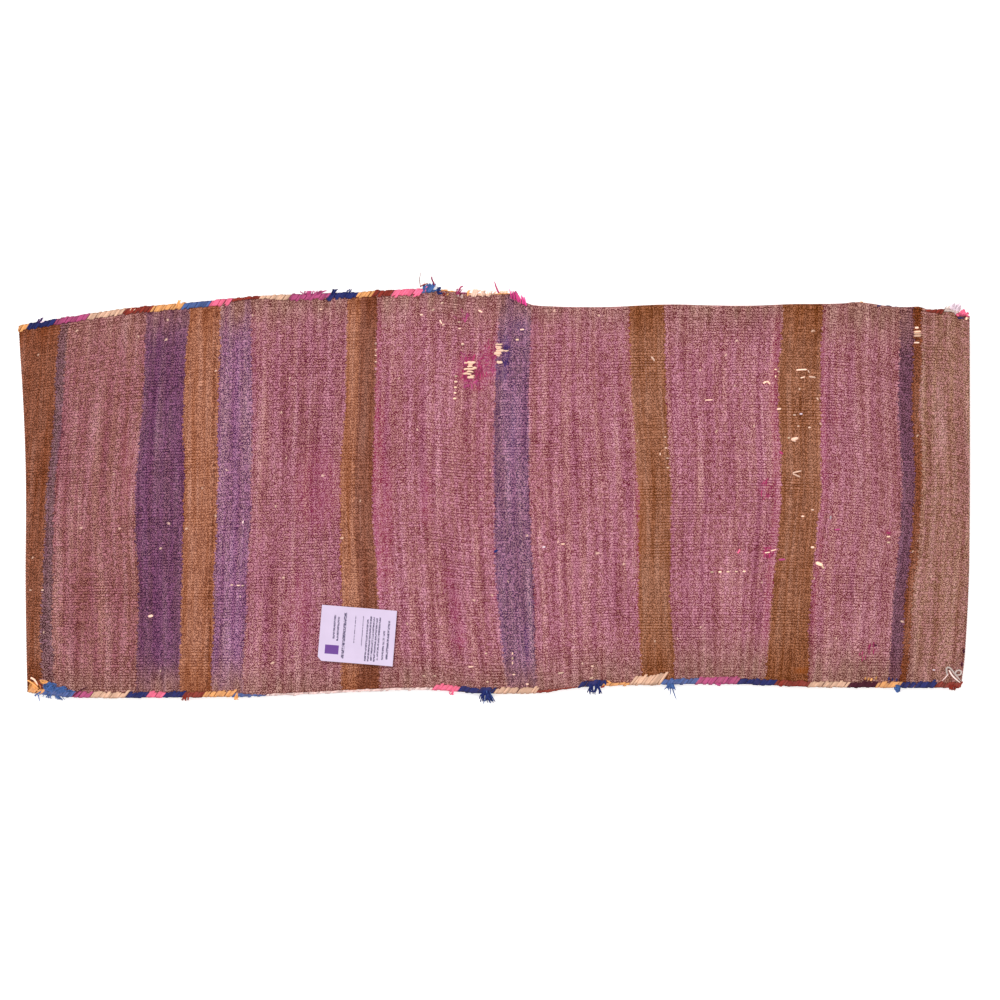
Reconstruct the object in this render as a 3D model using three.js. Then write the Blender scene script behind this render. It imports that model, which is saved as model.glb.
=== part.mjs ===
// A kilim saddle bag (khorjin) laid flat with its plain striped back upwards.
//
// One long strip of weft-faced cloth is folded over at both short ends, so that each end
// makes a pocket. Both pocket mouths face the middle, on the underside, and the bare
// stretch of back between them is the bridge that lies over the animal's saddle.
// Runs of coloured wool yarn overcast both long edges and close the pockets' sides.
//
// Millimetres, +Z up. +X runs along the bag's length and +Y across it. The origin is the
// middle of the footprint, on the surface that the bag lies on.

import * as THREE from 'three';

// ---- Driving dimensions -------------------------------------------------------------

const CLOTH_THICKNESS = 2.4;
const YARN_THICKNESS = 1.4;
const BINDING_REACH = 9; // how far the overcast yarn reaches in from the edge
const FIT_GAP = 0.3; // between the yarn and the cloth that it wraps
const EDGE_ROOM = 1.5; // between the cloth's edge and the inside of the wrap
const LAP_GAP = 0.4; // between the two layers of cloth inside a seam
const POCKET_GAP = 6; // between the two layers in the middle of a pocket
const BRIDGE_SAG = 1;
const RUN_GAP = 0.3; // between one coloured run and the next

// The long edges as they would lie with nothing turned under, as [x, y] points.
const TOP_EDGE = [
  [-556, 194.5], [-512, 202.5], [-432, 215], [-363, 223.5], [-264, 232], [-168, 235.5], [-80, 240],
  [-20, 236.5], [28, 236], [120, 237], [300, 240], [420, 236], [472, 219], [508, 214], [556, 205.5],
];
const BOTTOM_EDGE = [
  [-546, -233], [-498, -240], [-387, -240.5], [-266, -238], [-135, -231.5], [-72, -231], [-16, -235],
  [50, -234], [100, -228], [182, -224], [287, -222.5], [369, -226.5], [474, -228.5], [546, -230.5],
];

// The short ends, as [share of the width from the bottom edge, x] points.
const LEFT_END = [[0, -546], [0.3, -548], [0.55, -547.5], [0.75, -550], [1, -556.5]];
const RIGHT_END = [[0, 546], [0.1, 551], [0.35, 556], [1, 556.5]];

// The pocket mouths run slightly askew, from the bottom edge to the top edge.
const LEFT_MOUTH = { bottom: -73.5, top: -64.5 };
const RIGHT_MOUTH = { bottom: 51.5, top: 37.5 };

// The right pocket's upper seam is turned under. This is the line where the cloth starts
// to bend; where it lies outside the top edge, nothing is turned.
const FOLD_LINE = [
  [8, 250], [20, 236], [30, 221], [40, 213.5], [58, 211], [131, 210], [200, 214], [400, 215],
  [470, 209], [490, 210.5], [504, 215], [514, 220],
];
const FOLD_INNER_RADIUS = 2;
const TURNED_INSET = 47; // in from the edge, the cloth lies flat on the turned seam up to here
const TURNED_FADE = 96; // and comes down to the pocket's own height by here
const SEAM_FADE = 38; // elsewhere it opens from the seam to its own height by here
const LOWER_SEAM_FADE = 36;

// Coloured runs of yarn along each edge, as [colour, x where the run ends].
const TOP_START = -555;
const TOP_RUNS = [
  ['gold', -544], ['navy', -512], ['magenta', -473], ['cream', -431], ['rust', -399], ['gold', -363],
  ['blue', -331], ['pink', -306], ['rust', -274], ['cream', -238], ['magenta', -192], ['navy', -159],
  ['gold', -141], ['rust', -118], ['pink', -83], ['blue', -63],
  ['gold', -46], ['magenta', -30], ['cream', 0], ['gold', 19], ['magenta', 36],
  ['navy', 114], ['rust', 192], ['cream', 270], ['blue', 348], ['magenta', 426], ['gold', 503],
  ['rust', 525], ['white', 542], ['pink', 555],
];
const BOTTOM_START = -545;
const BOTTOM_RUNS = [
  ['gold', -528], ['blue', -493], ['magenta', -472], ['cream', -431], ['navy', -407], ['pink', -386],
  ['navy', -364], ['rust', -340], ['gold', -305], ['blue', -266], ['rose', -72],
  ['pink', -42], ['navy', 0], ['cream', 50],
  ['rust', 99], ['navy', 127], ['gold', 159], ['cream', 195], ['blue', 236], ['magenta', 284],
  ['navy', 328], ['rust', 367], ['cream', 413], ['maroon', 446], ['gold', 474], ['navy', 515],
  ['rust', 545],
];
const YARN_COLOURS = {
  gold: '#b58a3c', navy: '#34345a', magenta: '#a32a5c', cream: '#d8c7ab', rust: '#8f4a2e',
  blue: '#5b7fae', pink: '#d0356f', rose: '#c79a93', maroon: '#5a2530', white: '#dcd6e2',
};

// The blank card that lies on the back.
const LABEL = { x: -159.5, y: -167, width: 88, height: 65, clip: 9, thickness: 0.5, turn: -4.6 };

// ---- Heights that follow from the dimensions ----------------------------------------

const HALF_CLOTH = CLOTH_THICKNESS / 2;
const ARM = YARN_THICKNESS + FIT_GAP; // from the cloth's face to the outside of the wrap
const FRONT_FLAT = HALF_CLOTH;
const BACK_FLAT = CLOTH_THICKNESS + POCKET_GAP + HALF_CLOTH;
const FRONT_SEAM = ARM + HALF_CLOTH;
const BACK_SEAM = FRONT_SEAM + CLOTH_THICKNESS + LAP_GAP;
const SEAM_MIDDLE = (FRONT_SEAM + BACK_SEAM) / 2;
const BEND_BELOW_SEAM = FRONT_SEAM - HALF_CLOTH - FOLD_INNER_RADIUS;
const BEND_LENGTH = Math.PI * (SEAM_MIDDLE - BEND_BELOW_SEAM);
const TURNED_LIFT = BACK_SEAM + HALF_CLOTH + ARM - 2 * BEND_BELOW_SEAM + 0.05;

// ---- Curves -------------------------------------------------------------------------

/** A number between two others, by its share of the way. */
function between(start, end, share) {
  return start + (end - start) * share;
}

/** 0 before start, 1 after end, and a smooth rise between them. */
function ramp(value, start, end) {
  const share = THREE.MathUtils.clamp((value - start) / (end - start), 0, 1);
  return share * share * (3 - 2 * share);
}

/** A smooth function through [position, value] points. */
function curveThrough(points) {
  const last = points.length - 1;
  const slopes = points.map((_, i) => {
    const before = points[Math.max(i - 1, 0)];
    const after = points[Math.min(i + 1, last)];
    return (after[1] - before[1]) / (after[0] - before[0]);
  });
  return (position) => {
    const place = THREE.MathUtils.clamp(position, points[0][0], points[last][0]);
    let i = 0;
    while (i < last - 1 && place > points[i + 1][0]) i += 1;
    const [startPlace, startValue] = points[i];
    const [endPlace, endValue] = points[i + 1];
    const span = endPlace - startPlace;
    const s = (place - startPlace) / span;
    return startValue * (1 + 2 * s) * (1 - s) ** 2 + endValue * s * s * (3 - 2 * s)
      + slopes[i] * span * s * (1 - s) ** 2 - slopes[i + 1] * span * s * s * (1 - s);
  };
}

const topEdge = curveThrough(TOP_EDGE);
const bottomEdge = curveThrough(BOTTOM_EDGE);
const leftEnd = curveThrough(LEFT_END);
const rightEnd = curveThrough(RIGHT_END);
const foldLine = curveThrough(FOLD_LINE);

// ---- The shape of the laid cloth ----------------------------------------------------

/** How far the right pocket's upper seam is lifted by being turned under, from 0 to 1. */
function turned(x) {
  return ramp(x, -45, 14) * (1 - ramp(x, 510, 549));
}

/** Heights of the middles of the front and back layers at a place on the bag. */
function layerHeights(x, y) {
  const fromTop = topEdge(x) - y;
  const fromBottom = y - bottomEdge(x);
  const closed = BINDING_REACH - 1;
  const aboveStart = between(closed, TURNED_INSET, turned(x));
  const aboveEnd = between(SEAM_FADE, TURNED_FADE, turned(x));
  const open = ramp(fromTop, aboveStart, aboveEnd) * ramp(fromBottom, closed, LOWER_SEAM_FADE);
  const lift = TURNED_LIFT * turned(x) * (1 - ramp(fromTop, TURNED_INSET, TURNED_FADE));
  const sag = BRIDGE_SAG * open * Math.exp(-(((x + 12) / 60) ** 2));
  return {
    front: between(FRONT_SEAM, FRONT_FLAT, open) + lift,
    back: between(BACK_SEAM, BACK_FLAT, open) + lift - sag,
  };
}

/** Bends a point beyond the fold line round and under the bag. */
function turnUnder(x, y, z) {
  const beyond = y - foldLine(x);
  if (beyond <= 0 || x < 0) return new THREE.Vector3(x, y, z);
  const centre = BEND_BELOW_SEAM + TURNED_LIFT * turned(x);
  const radius = z - centre;
  const angle = Math.PI * Math.min(beyond / BEND_LENGTH, 1);
  const straight = Math.max(beyond - BEND_LENGTH, 0);
  const bentY = foldLine(x) + radius * Math.sin(angle) - straight;
  return new THREE.Vector3(x, bentY, centre + radius * Math.cos(angle));
}

// ---- Building closed bodies ---------------------------------------------------------

/** A mesh from numbered points and triangles, with its own plain wool or card finish. */
function bodyMesh(name, points, triangles, colour, roughness = 0.95) {
  const geometry = new THREE.BufferGeometry();
  const coordinates = points.flatMap((p) => [p.x, p.y, p.z]);
  geometry.setAttribute('position', new THREE.Float32BufferAttribute(coordinates, 3));
  geometry.setIndex(triangles);
  geometry.computeVertexNormals();
  const material = new THREE.MeshStandardMaterial({ color: colour, roughness, metalness: 0 });
  const mesh = new THREE.Mesh(geometry, material);
  mesh.name = name;
  return mesh;
}

/** Positions through all the key positions, with no step longer than the longest. */
function stationsThrough(keys, longest) {
  const stations = [keys[0]];
  keys.slice(1).forEach((key, i) => {
    const steps = Math.ceil((key - keys[i]) / longest);
    for (let step = 1; step <= steps; step += 1) stations.push(between(keys[i], key, step / steps));
  });
  return stations;
}

// ---- The woven strip ----------------------------------------------------------------

const LONGEST_STEP = 64;
const LIFT_STARTS = [-45, -33, -20, -8, 3]; // where the turned seam starts to lift the edge
const TURN_STARTS = [14, 19, 25, 30, 36, 45, 58]; // where the seam starts to turn under
const TURN_ENDS = [
  426, 448, 459, 470, 477, 484, 490, 495, 499, 503, 507, 512, 521, 531, 540, 549,
]; // where it comes back out
const LAST_BEND = 512; // past here the edge lies flat again
const RIGHT_REACH = 553; // the last crosswise row before the right end's fold
const FOLD_STEPS = 6;

// Lines that run along the strip, by their distance in from each long edge.
const EDGE_INSET = YARN_THICKNESS + EDGE_ROOM;
const ARM_INSETS = [BINDING_REACH, 7, 4.5, EDGE_INSET]; // where the yarn and the cloth bend together
const LINES_FROM_BOTTOM = [EDGE_INSET, BINDING_REACH, 20, LOWER_SEAM_FADE];
const LINES_FROM_TOP = [TURNED_FADE, 70, TURNED_INSET, SEAM_FADE, 27, 24, 21, 18, 15, 12, ...ARM_INSETS];
const MIDDLE_LINES = 2;
const MAIN_REACH = 500; // the regular rows run this far towards the left end
const SKEW_REACH = 520; // from here to the right the rows lean to follow the right end
const MOUTH_STRETCH = 46; // the rows lean to follow a pocket's mouth within this distance of it
const LEFT_MOUTH_X = -74; // where a straight mouth would be
const RIGHT_MOUTH_X = 37;
const RIGHT_FRONT_START = 36;

/** Where the lines along the strip lie across it, at a place along the bag. */
function lineYs(x) {
  const lower = LINES_FROM_BOTTOM.map((inset) => bottomEdge(x) + inset);
  const upper = LINES_FROM_TOP.map((inset) => topEdge(x) - inset);
  const start = lower[lower.length - 1];
  const middle = Array.from({ length: MIDDLE_LINES }, (_, i) => (
    between(start, upper[0], (i + 1) / (MIDDLE_LINES + 1))));
  return [...lower, ...middle, ...upper];
}

const LINE_SHARES = lineYs(0).map((y) => (y - bottomEdge(0)) / (topEdge(0) - bottomEdge(0)));
const LINE_COUNT = LINE_SHARES.length;

/** Stretches the last part of a row of stations so that it ends at a new place. */
function reachTo(x, from, nominal, actual) {
  const share = (x - from) / (nominal - from);
  return share <= 0 ? x : between(from, actual, share);
}

/** The middle of the cloth's end fold: its centre, where the layers meet it. */
function endFold(share, line, side) {
  const end = side < 0 ? leftEnd(share) : rightEnd(share);
  const y = lineYs(end)[line];
  const { front, back } = layerHeights(end, y);
  const radius = (back - front) / 2;
  return { x: end - side * (radius + HALF_CLOTH), y, z: (back + front) / 2, radius };
}

/** One crosswise row of the strip: for each line, its outer and inner point. */
function flatRow(layer, placeAlong) {
  return LINE_SHARES.map((share, line) => {
    const x = placeAlong(share, line);
    const y = lineYs(x)[line];
    const height = layerHeights(x, y)[layer];
    const outwards = layer === 'back' ? HALF_CLOTH : -HALF_CLOTH;
    return { outer: turnUnder(x, y, height + outwards), inner: turnUnder(x, y, height - outwards) };
  });
}

/** One crosswise row partway round an end fold; angle 0 is the front, pi is the back. */
function foldRow(side, angle) {
  return LINE_SHARES.map((share, line) => {
    const fold = endFold(share, line, side);
    const around = (radius) => new THREE.Vector3(
      fold.x + side * radius * Math.sin(angle), fold.y, fold.z - radius * Math.cos(angle));
    return { outer: around(fold.radius + HALF_CLOTH), inner: around(fold.radius - HALF_CLOTH) };
  });
}

function wovenStrip() {
  const leftLean = LEFT_MOUTH_X - MOUTH_STRETCH;
  const rightLean = TURN_STARTS[TURN_STARTS.length - 1];
  const leftKeys = stationsThrough([-MAIN_REACH, leftLean, LEFT_MOUTH_X], LONGEST_STEP);
  const rightStarts = TURN_STARTS.filter((x) => x >= RIGHT_FRONT_START);
  const rightKeys = stationsThrough([...rightStarts, ...TURN_ENDS], LONGEST_STEP);
  const bridgeKeys = [leftLean, LEFT_MOUTH_X, ...LIFT_STARTS];
  const backKeys = stationsThrough(
    [-MAIN_REACH, ...bridgeKeys, ...TURN_STARTS, ...TURN_ENDS], LONGEST_STEP);
  const halfFold = Array.from({ length: FOLD_STEPS + 1 }, (_, i) => (Math.PI * i) / FOLD_STEPS);

  const mouthX = (mouth, share) => between(mouth.bottom, mouth.top, share);
  const rightReach = (x) => (share, line) => (
    reachTo(x, SKEW_REACH, RIGHT_REACH, endFold(share, line, 1).x));
  const leftFront = (x) => (share) => reachTo(x, leftLean, LEFT_MOUTH_X, mouthX(LEFT_MOUTH, share));
  const rightFront = (x) => (share, line) => (
    x < rightLean
      ? -reachTo(-x, -rightLean, -RIGHT_MOUTH_X, -mouthX(RIGHT_MOUTH, share))
      : rightReach(x)(share, line));

  const rows = [
    ...leftKeys.toReversed().map((x) => flatRow('front', leftFront(x))),
    ...halfFold.map((angle) => foldRow(-1, angle)),
    ...backKeys.map((x) => flatRow('back', rightReach(x))),
    ...halfFold.map((angle) => foldRow(1, Math.PI - angle)),
    ...rightKeys.toReversed().map((x) => flatRow('front', rightFront(x))),
  ];

  const points = rows.flatMap((row) => row.flatMap(({ outer, inner }) => [outer, inner]));
  const outer = (row, line) => 2 * (row * LINE_COUNT + line);
  const inner = (row, line) => outer(row, line) + 1;
  const triangles = [];
  const quad = (a, b, c, d) => triangles.push(a, b, c, a, c, d);
  const lastRow = rows.length - 1;
  const lastLine = LINE_COUNT - 1;
  for (let row = 0; row < lastRow; row += 1) {
    // Each square is split from its lower left to its upper right as seen from above, on
    // both layers, so that the layers and the yarn round them stay parallel where they twist.
    const rightwards = rows[row + 1][0].outer.x > rows[row][0].outer.x;
    for (let line = 0; line < lastLine; line += 1) {
      const [a, b, c, d] = [[row, line], [row + 1, line], [row + 1, line + 1], [row, line + 1]];
      const outside = [a, b, c, d].map((place) => outer(...place));
      const inside = [a, d, c, b].map((place) => inner(...place));
      [outside, inside].forEach(([p, q, r, s]) => (rightwards ? quad(p, q, r, s) : quad(q, r, s, p)));
    }
    quad(inner(row, 0), inner(row + 1, 0), outer(row + 1, 0), outer(row, 0));
    quad(outer(row, lastLine), outer(row + 1, lastLine), inner(row + 1, lastLine), inner(row, lastLine));
  }
  for (let line = 0; line < lastLine; line += 1) {
    quad(outer(0, line), outer(0, line + 1), inner(0, line + 1), inner(0, line));
    quad(inner(lastRow, line), inner(lastRow, line + 1), outer(lastRow, line + 1), outer(lastRow, line));
  }
  return bodyMesh('woven_strip', points, triangles, '#a56b6c');
}

// ---- The overcast edges -------------------------------------------------------------

/** The wrap's section, as [distance in from the edge, height] points in a closed ring. */
function wrapSection(bottom, top, bends) {
  const arm = bends ? ARM_INSETS : [BINDING_REACH];
  const outside = [...arm, 0];
  const inside = [...arm, YARN_THICKNESS];
  return [
    ...outside.map((reach) => [reach, bottom]),
    ...outside.toReversed().map((reach) => [reach, top]),
    ...inside.map((reach) => [reach, top - YARN_THICKNESS]),
    ...inside.toReversed().map((reach) => [reach, bottom + YARN_THICKNESS]),
  ];
}

/** One run of yarn, wrapped round the cloth's edge from one place to another. */
function bindingRun(name, colour, side, start, end) {
  const turning = side > 0 ? [...LIFT_STARTS, ...TURN_STARTS, ...TURN_ENDS] : [];
  const keys = [start, ...turning.filter((x) => x > start + 1 && x < end - 1), end];
  const stations = stationsThrough(keys, LONGEST_STEP);
  const mouths = side > 0 ? [LEFT_MOUTH.top, RIGHT_MOUTH.top] : [LEFT_MOUTH.bottom, RIGHT_MOUTH.bottom];
  const middle = (start + end) / 2;
  const singleLayer = middle > mouths[0] && middle < mouths[1];
  const bends = side > 0 && end > TURN_STARTS[1] && start < LAST_BEND;

  const rings = stations.map((x) => {
    const edge = side > 0 ? topEdge(x) : bottomEdge(x);
    const lift = side > 0 ? TURNED_LIFT * turned(x) : 0;
    const lowest = (singleLayer ? BACK_SEAM : FRONT_SEAM) - HALF_CLOTH - ARM + lift;
    const highest = BACK_SEAM + HALF_CLOTH + ARM + lift;
    return wrapSection(lowest, highest, bends).map(([reach, height]) => {
      const y = edge - side * reach;
      return side > 0 ? turnUnder(x, y, height) : new THREE.Vector3(x, y, height);
    });
  });

  const section = wrapSection(0, 3 * ARM, bends).map((place) => new THREE.Vector2(...place));
  const around = section.length;
  const points = rings.flat();
  const flip = side > 0;
  const triangles = [];
  const triangle = (a, b, c) => triangles.push(...(flip ? [a, c, b] : [a, b, c]));
  for (let ring = 0; ring < rings.length - 1; ring += 1) {
    for (let i = 0; i < around; i += 1) {
      const next = (i + 1) % around;
      const [a, b] = [ring * around + i, ring * around + next];
      const [c, d] = [b + around, a + around];
      // Each square is split the same way as the cloth's beside it, so that the two stay
      // parallel where they twist.
      const towardsEdge = section[next].x < section[i].x;
      triangle(a, d, towardsEdge ? c : b);
      triangle(towardsEdge ? a : d, c, b);
    }
  }
  const lastRing = (rings.length - 1) * around;
  THREE.ShapeUtils.triangulateShape(section, []).forEach(([a, b, c]) => {
    triangle(a, c, b);
    triangle(lastRing + a, lastRing + b, lastRing + c);
  });
  return bodyMesh(name, points, triangles, colour);
}

function edgeBindings(edgeName, side, start, runs) {
  let from = start;
  return runs.map(([colour, end], i) => {
    const number = String(i + 1).padStart(2, '0');
    const name = `${edgeName}_binding_${number}_${colour}`;
    const run = bindingRun(name, YARN_COLOURS[colour], side, from + RUN_GAP, end);
    from = end;
    return run;
  });
}

// ---- The label ----------------------------------------------------------------------

function labelCard() {
  const { width, height, clip } = LABEL;
  const outline = new THREE.Shape();
  outline.moveTo(width / 2, -height / 2);
  outline.lineTo(width / 2, height / 2);
  outline.lineTo(-width / 2, height / 2);
  outline.lineTo(-width / 2, -height / 2 + clip);
  outline.lineTo(-width / 2 + clip / 2, -height / 2);
  const geometry = new THREE.ExtrudeGeometry(outline, { depth: LABEL.thickness, bevelEnabled: false });
  const material = new THREE.MeshStandardMaterial({ color: '#e1d4f0', roughness: 0.7, metalness: 0 });
  const card = new THREE.Mesh(geometry, material);
  card.name = 'label_card';
  card.position.set(LABEL.x, LABEL.y, BACK_FLAT + HALF_CLOTH + FIT_GAP);
  card.rotation.z = THREE.MathUtils.degToRad(LABEL.turn);
  return card;
}

// ---- The whole bag ------------------------------------------------------------------

const group = new THREE.Group();
group.add(wovenStrip());
group.add(...edgeBindings('top', 1, TOP_START, TOP_RUNS));
group.add(...edgeBindings('bottom', -1, BOTTOM_START, BOTTOM_RUNS));
group.add(labelCard());

export default group;
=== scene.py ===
import math

import bpy
import numpy as np
from bpy.props import FloatProperty, FloatVectorProperty, PointerProperty
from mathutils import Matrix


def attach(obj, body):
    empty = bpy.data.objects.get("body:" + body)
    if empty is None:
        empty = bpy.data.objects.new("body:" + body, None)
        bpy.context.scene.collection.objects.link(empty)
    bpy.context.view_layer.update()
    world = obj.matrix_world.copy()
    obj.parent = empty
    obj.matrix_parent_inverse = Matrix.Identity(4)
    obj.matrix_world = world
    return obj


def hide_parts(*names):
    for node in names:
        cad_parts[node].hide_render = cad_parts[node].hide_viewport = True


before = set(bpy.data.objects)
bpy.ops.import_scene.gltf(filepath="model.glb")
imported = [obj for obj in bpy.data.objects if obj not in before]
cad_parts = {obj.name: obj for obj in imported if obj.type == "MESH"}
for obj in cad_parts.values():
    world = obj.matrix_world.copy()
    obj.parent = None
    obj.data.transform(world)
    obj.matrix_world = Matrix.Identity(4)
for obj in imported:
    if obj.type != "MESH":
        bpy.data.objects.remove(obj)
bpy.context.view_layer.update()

# A kilim saddle bag (khorjin), laid flat with its plain striped back upwards: one strip
# of weft-faced cloth, folded at both short ends into two pockets that lie underneath,
# with runs of coloured wool overcast along both long edges.
#
# The shape is worked out in millimetres in the frame of the construction, and turned to
# metres where a mesh is made. +X runs along the bag, +Y across it and +Z upwards.

bl_info = {
    "name": "Kilim saddle bag",
    "version": (1, 0, 0),
    "blender": (4, 5, 0),
    "location": "3D View > Sidebar > Saddle Bag",
    "description": "Weaves, overcasts, wears and lights a striped kilim saddle bag",
    "category": "Add Mesh",
}

MM = 0.001

# ---- Driving dimensions, in millimetres ----------------------------------------------

# They are the construction's, apart from the long edges and the fold line. Those follow the
# worn outline more closely, and mostly stand a few millimetres past the construction's.
HALF_CLOTH = 1.2
YARN_THICKNESS = 1.4
BINDING_REACH = 9
FIT_GAP = 0.3
EDGE_ROOM = 1.5
LAP_GAP = 0.4
POCKET_GAP = 6
BRIDGE_SAG = 1
RUN_GAP = 0.3

TOP_EDGE = [
    (-556, 198), (-512, 205.5), (-432, 217.5), (-363, 224), (-264, 233), (-168, 236.5), (-80, 240.5),
    (-20, 235), (28, 235), (120, 237), (300, 240), (420, 236), (472, 219), (508, 216), (532, 216.5),
    (546, 213), (556, 208.5),
]
BOTTOM_EDGE = [
    (-546, -236), (-498, -242), (-387, -242.5), (-266, -240.5), (-135, -234.5), (-72, -233.5), (-16, -237.5),
    (50, -237), (100, -230.5), (182, -227.5), (287, -227), (369, -230), (474, -231), (546, -231),
]
LEFT_END = [(0, -546), (0.3, -548), (0.55, -547.5), (0.75, -550), (1, -556.5)]
RIGHT_END = [(0, 546), (0.1, 551), (0.35, 556), (1, 556.5)]
LEFT_MOUTH = (-73.5, -64.5)  # at the bottom edge, at the top edge
RIGHT_MOUTH = (51.5, 37.5)
FOLD_LINE = [
    (8, 250), (20, 236), (30, 221), (40, 213.5), (58, 210.5), (131, 209.5), (200, 212.5), (246, 211.5),
    (300, 211), (352, 213), (404, 213.5), (424, 215.5), (440, 213.5), (470, 209.5), (490, 210.5),
    (504, 215), (514, 220),
]
FOLD_INNER_RADIUS = 2
TURNED_INSET = 47
TURNED_FADE = 96
TURNED_RISE, TURNED_FALL = (-45, 14), (510, 549)  # where along X the seam starts and stops being turned
SEAM_FADE = 38  # in from an upper seam that isn't turned, the pocket has its own height by here
LOWER_SEAM_FADE = 36
BRIDGE_MIDDLE, BRIDGE_REACH = -12, 60  # where the bridge sags, and how widely

TOP_START = -555
TOP_RUNS = [
    ("gold", -544), ("navy", -512), ("magenta", -473), ("cream", -431), ("rust", -399), ("gold", -363),
    ("blue", -331), ("pink", -306), ("rust", -274), ("cream", -238), ("magenta", -192), ("navy", -159),
    ("gold", -141), ("rust", -118), ("pink", -83), ("blue", -63),
    ("gold", -46), ("magenta", -30), ("cream", 0), ("gold", 19), ("magenta", 36),
    ("navy", 114), ("rust", 192), ("cream", 270), ("blue", 348), ("magenta", 426), ("gold", 503),
    ("rust", 525), ("white", 542), ("pink", 555),
]
BOTTOM_START = -545
BOTTOM_RUNS = [
    ("gold", -528), ("blue", -493), ("magenta", -472), ("cream", -431), ("navy", -407), ("pink", -386),
    ("navy", -364), ("rust", -340), ("gold", -305), ("blue", -266), ("rose", -72),
    ("pink", -42), ("navy", 0), ("cream", 50),
    ("rust", 99), ("navy", 127), ("gold", 159), ("cream", 195), ("blue", 236), ("magenta", 284),
    ("navy", 328), ("rust", 367), ("cream", 413), ("maroon", 446), ("gold", 474), ("navy", 515),
    ("rust", 545),
]

ARM = YARN_THICKNESS + FIT_GAP
FRONT_FLAT = HALF_CLOTH
BACK_FLAT = 2 * HALF_CLOTH + POCKET_GAP + HALF_CLOTH
FRONT_SEAM = ARM + HALF_CLOTH
BACK_SEAM = FRONT_SEAM + 2 * HALF_CLOTH + LAP_GAP
SEAM_MIDDLE = (FRONT_SEAM + BACK_SEAM) / 2
BEND_BELOW_SEAM = FRONT_SEAM - HALF_CLOTH - FOLD_INNER_RADIUS
BEND_LENGTH = math.pi * (SEAM_MIDDLE - BEND_BELOW_SEAM)
TURNED_GAP = 0.05  # between the turned seam and what it lies on
TURNED_LIFT = BACK_SEAM + HALF_CLOTH + ARM - 2 * BEND_BELOW_SEAM + TURNED_GAP
EDGE_INSET = YARN_THICKNESS + EDGE_ROOM
FLOOR_GAP = 0.02  # what presses on the floor stays this far above it

# ---- The stripes ---------------------------------------------------------------------

# Each dye as it shows deep between the ribs, where the ribs have worn pale, and where it
# is fresh.
DYES = {
    "walnut_dark": ("#502818", "#a86850", "#8a4a2c"),
    "walnut": ("#603420", "#b87c60", "#a05a34"),
    "walnut_mid": ("#582c20", "#a86c58", "#a05a34"),
    "walnut_light": ("#703c2c", "#c8886c", "#a8603c"),
    "plum_grey": ("#301424", "#906078", "#7a3a5a"),
    "taupe": ("#381820", "#987078", "#7a3a5a"),
    "madder_tan": ("#582430", "#c08884", "#9c3c62"),
    "madder": ("#680434", "#d0989c", "#9a3060"),
    "madder_deep": ("#600434", "#c89094", "#983060"),
    "aubergine": ("#2c0434", "#986880", "#54306c"),
    "violet": ("#300440", "#b8889c", "#4c3068"),
    "lilac": ("#400848", "#bc8ca0", "#5c3a74"),
    "faded_tan": ("#60342c", "#c89888", "#9a4062"),
}

# The walnut browns don't fade to tan, and these dyes do so less than the others.
FADES_LESS = {"plum_grey": 0.45, "taupe": 0.7, "violet": 0.8}

# Odd wefts that stand out from end to end: place along the strip, half width, how much paler
# and how much fresher.
ODD_WEFTS = [
    (-271, 2.2, 0.4, 0), (-222, 1.8, 0.15, 0), (90, 1.8, 0.15, 0), (437, 1.8, 0.2, 0),
    (361.6, 1.6, -0.45, 0), (330, 4.5, 0.05, 0.4), (-139, 2, 0, 0.5), (2, 2, 0.1, 0.3),
    (386, 2.5, 0, 0.3), (168, 2, 0, 0.3),
]

# Each stripe's dye, and where the stripe ends on the right at the bottom edge, at a
# quarter, a half and three quarters of the width, and at the top edge.
STRIPES = [
    ("walnut_dark", (-531.4, -529.1, -523.3, -513.9, -506.9)),
    ("taupe", (-515.1, -516.3, -513.3, -504.6, -495.2)),
    ("madder_tan", (-419.3, -414.6, -419.3, -410, -405.3)),
    ("aubergine", (-366.8, -365.6, -362.1, -362.7, -355.1)),
    ("walnut_light", (-336.5, -333, -329.5, -327.2, -325.4)),
    ("walnut_dark", (-334.3, -330.8, -327.3, -325, -323.2)),
    ("walnut_light", (-330.5, -327, -323.5, -321.2, -319.4)),
    ("lilac", (-293.2, -289.1, -283.8, -282.7, -282.7)),
    ("madder_deep", (-178.7, -178.1, -179.9, -173.4, -170.5)),
    ("walnut_light", (-158.5, -158.9, -162.8, -158.7, -155.2)),
    ("walnut_mid", (-133.2, -135.5, -141.9, -139, -135.5)),
    ("madder", (16.4, 3.5, 0, 1.2, 7)),
    ("violet", (50.2, 45.6, 40.9, 41.5, 45)),
    ("madder", (171.7, 168.8, 168.2, 160, 156.5)),
    ("walnut", (212.6, 205.6, 206.7, 200.9, 198.6)),
    ("madder", (315.4, 325.9, 335.2, 331.7, 338.1)),
    ("walnut", (366.8, 370.3, 381.9, 380.8, 384.9)),
    ("madder", (461.4, 467.2, 476.5, 471.9, 474.2)),
    ("plum_grey", (474.2, 481.2, 490.6, 488.2, 489.4)),
    ("walnut_dark", (481.2, 490.6, 498.7, 497.6, 498.7)),
    ("faded_tan", (600, 600, 600, 600, 600)),
]

YARN_HEX = {
    "gold": "#eda868", "navy": "#222c66", "magenta": "#b24a7c", "cream": "#e4b99e", "rust": "#8a2f24",
    "blue": "#46639c", "pink": "#fb7196", "rose": "#f2d4d0", "maroon": "#48182a", "white": "#ead6cf",
    "blush": "#ffd4be", "lilac": "#e6d0dc", "hot_pink": "#f04d9c", "bright_magenta": "#ac3c68",
    "purple": "#4c3068", "straw": "#ffd8bc",
}
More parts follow.
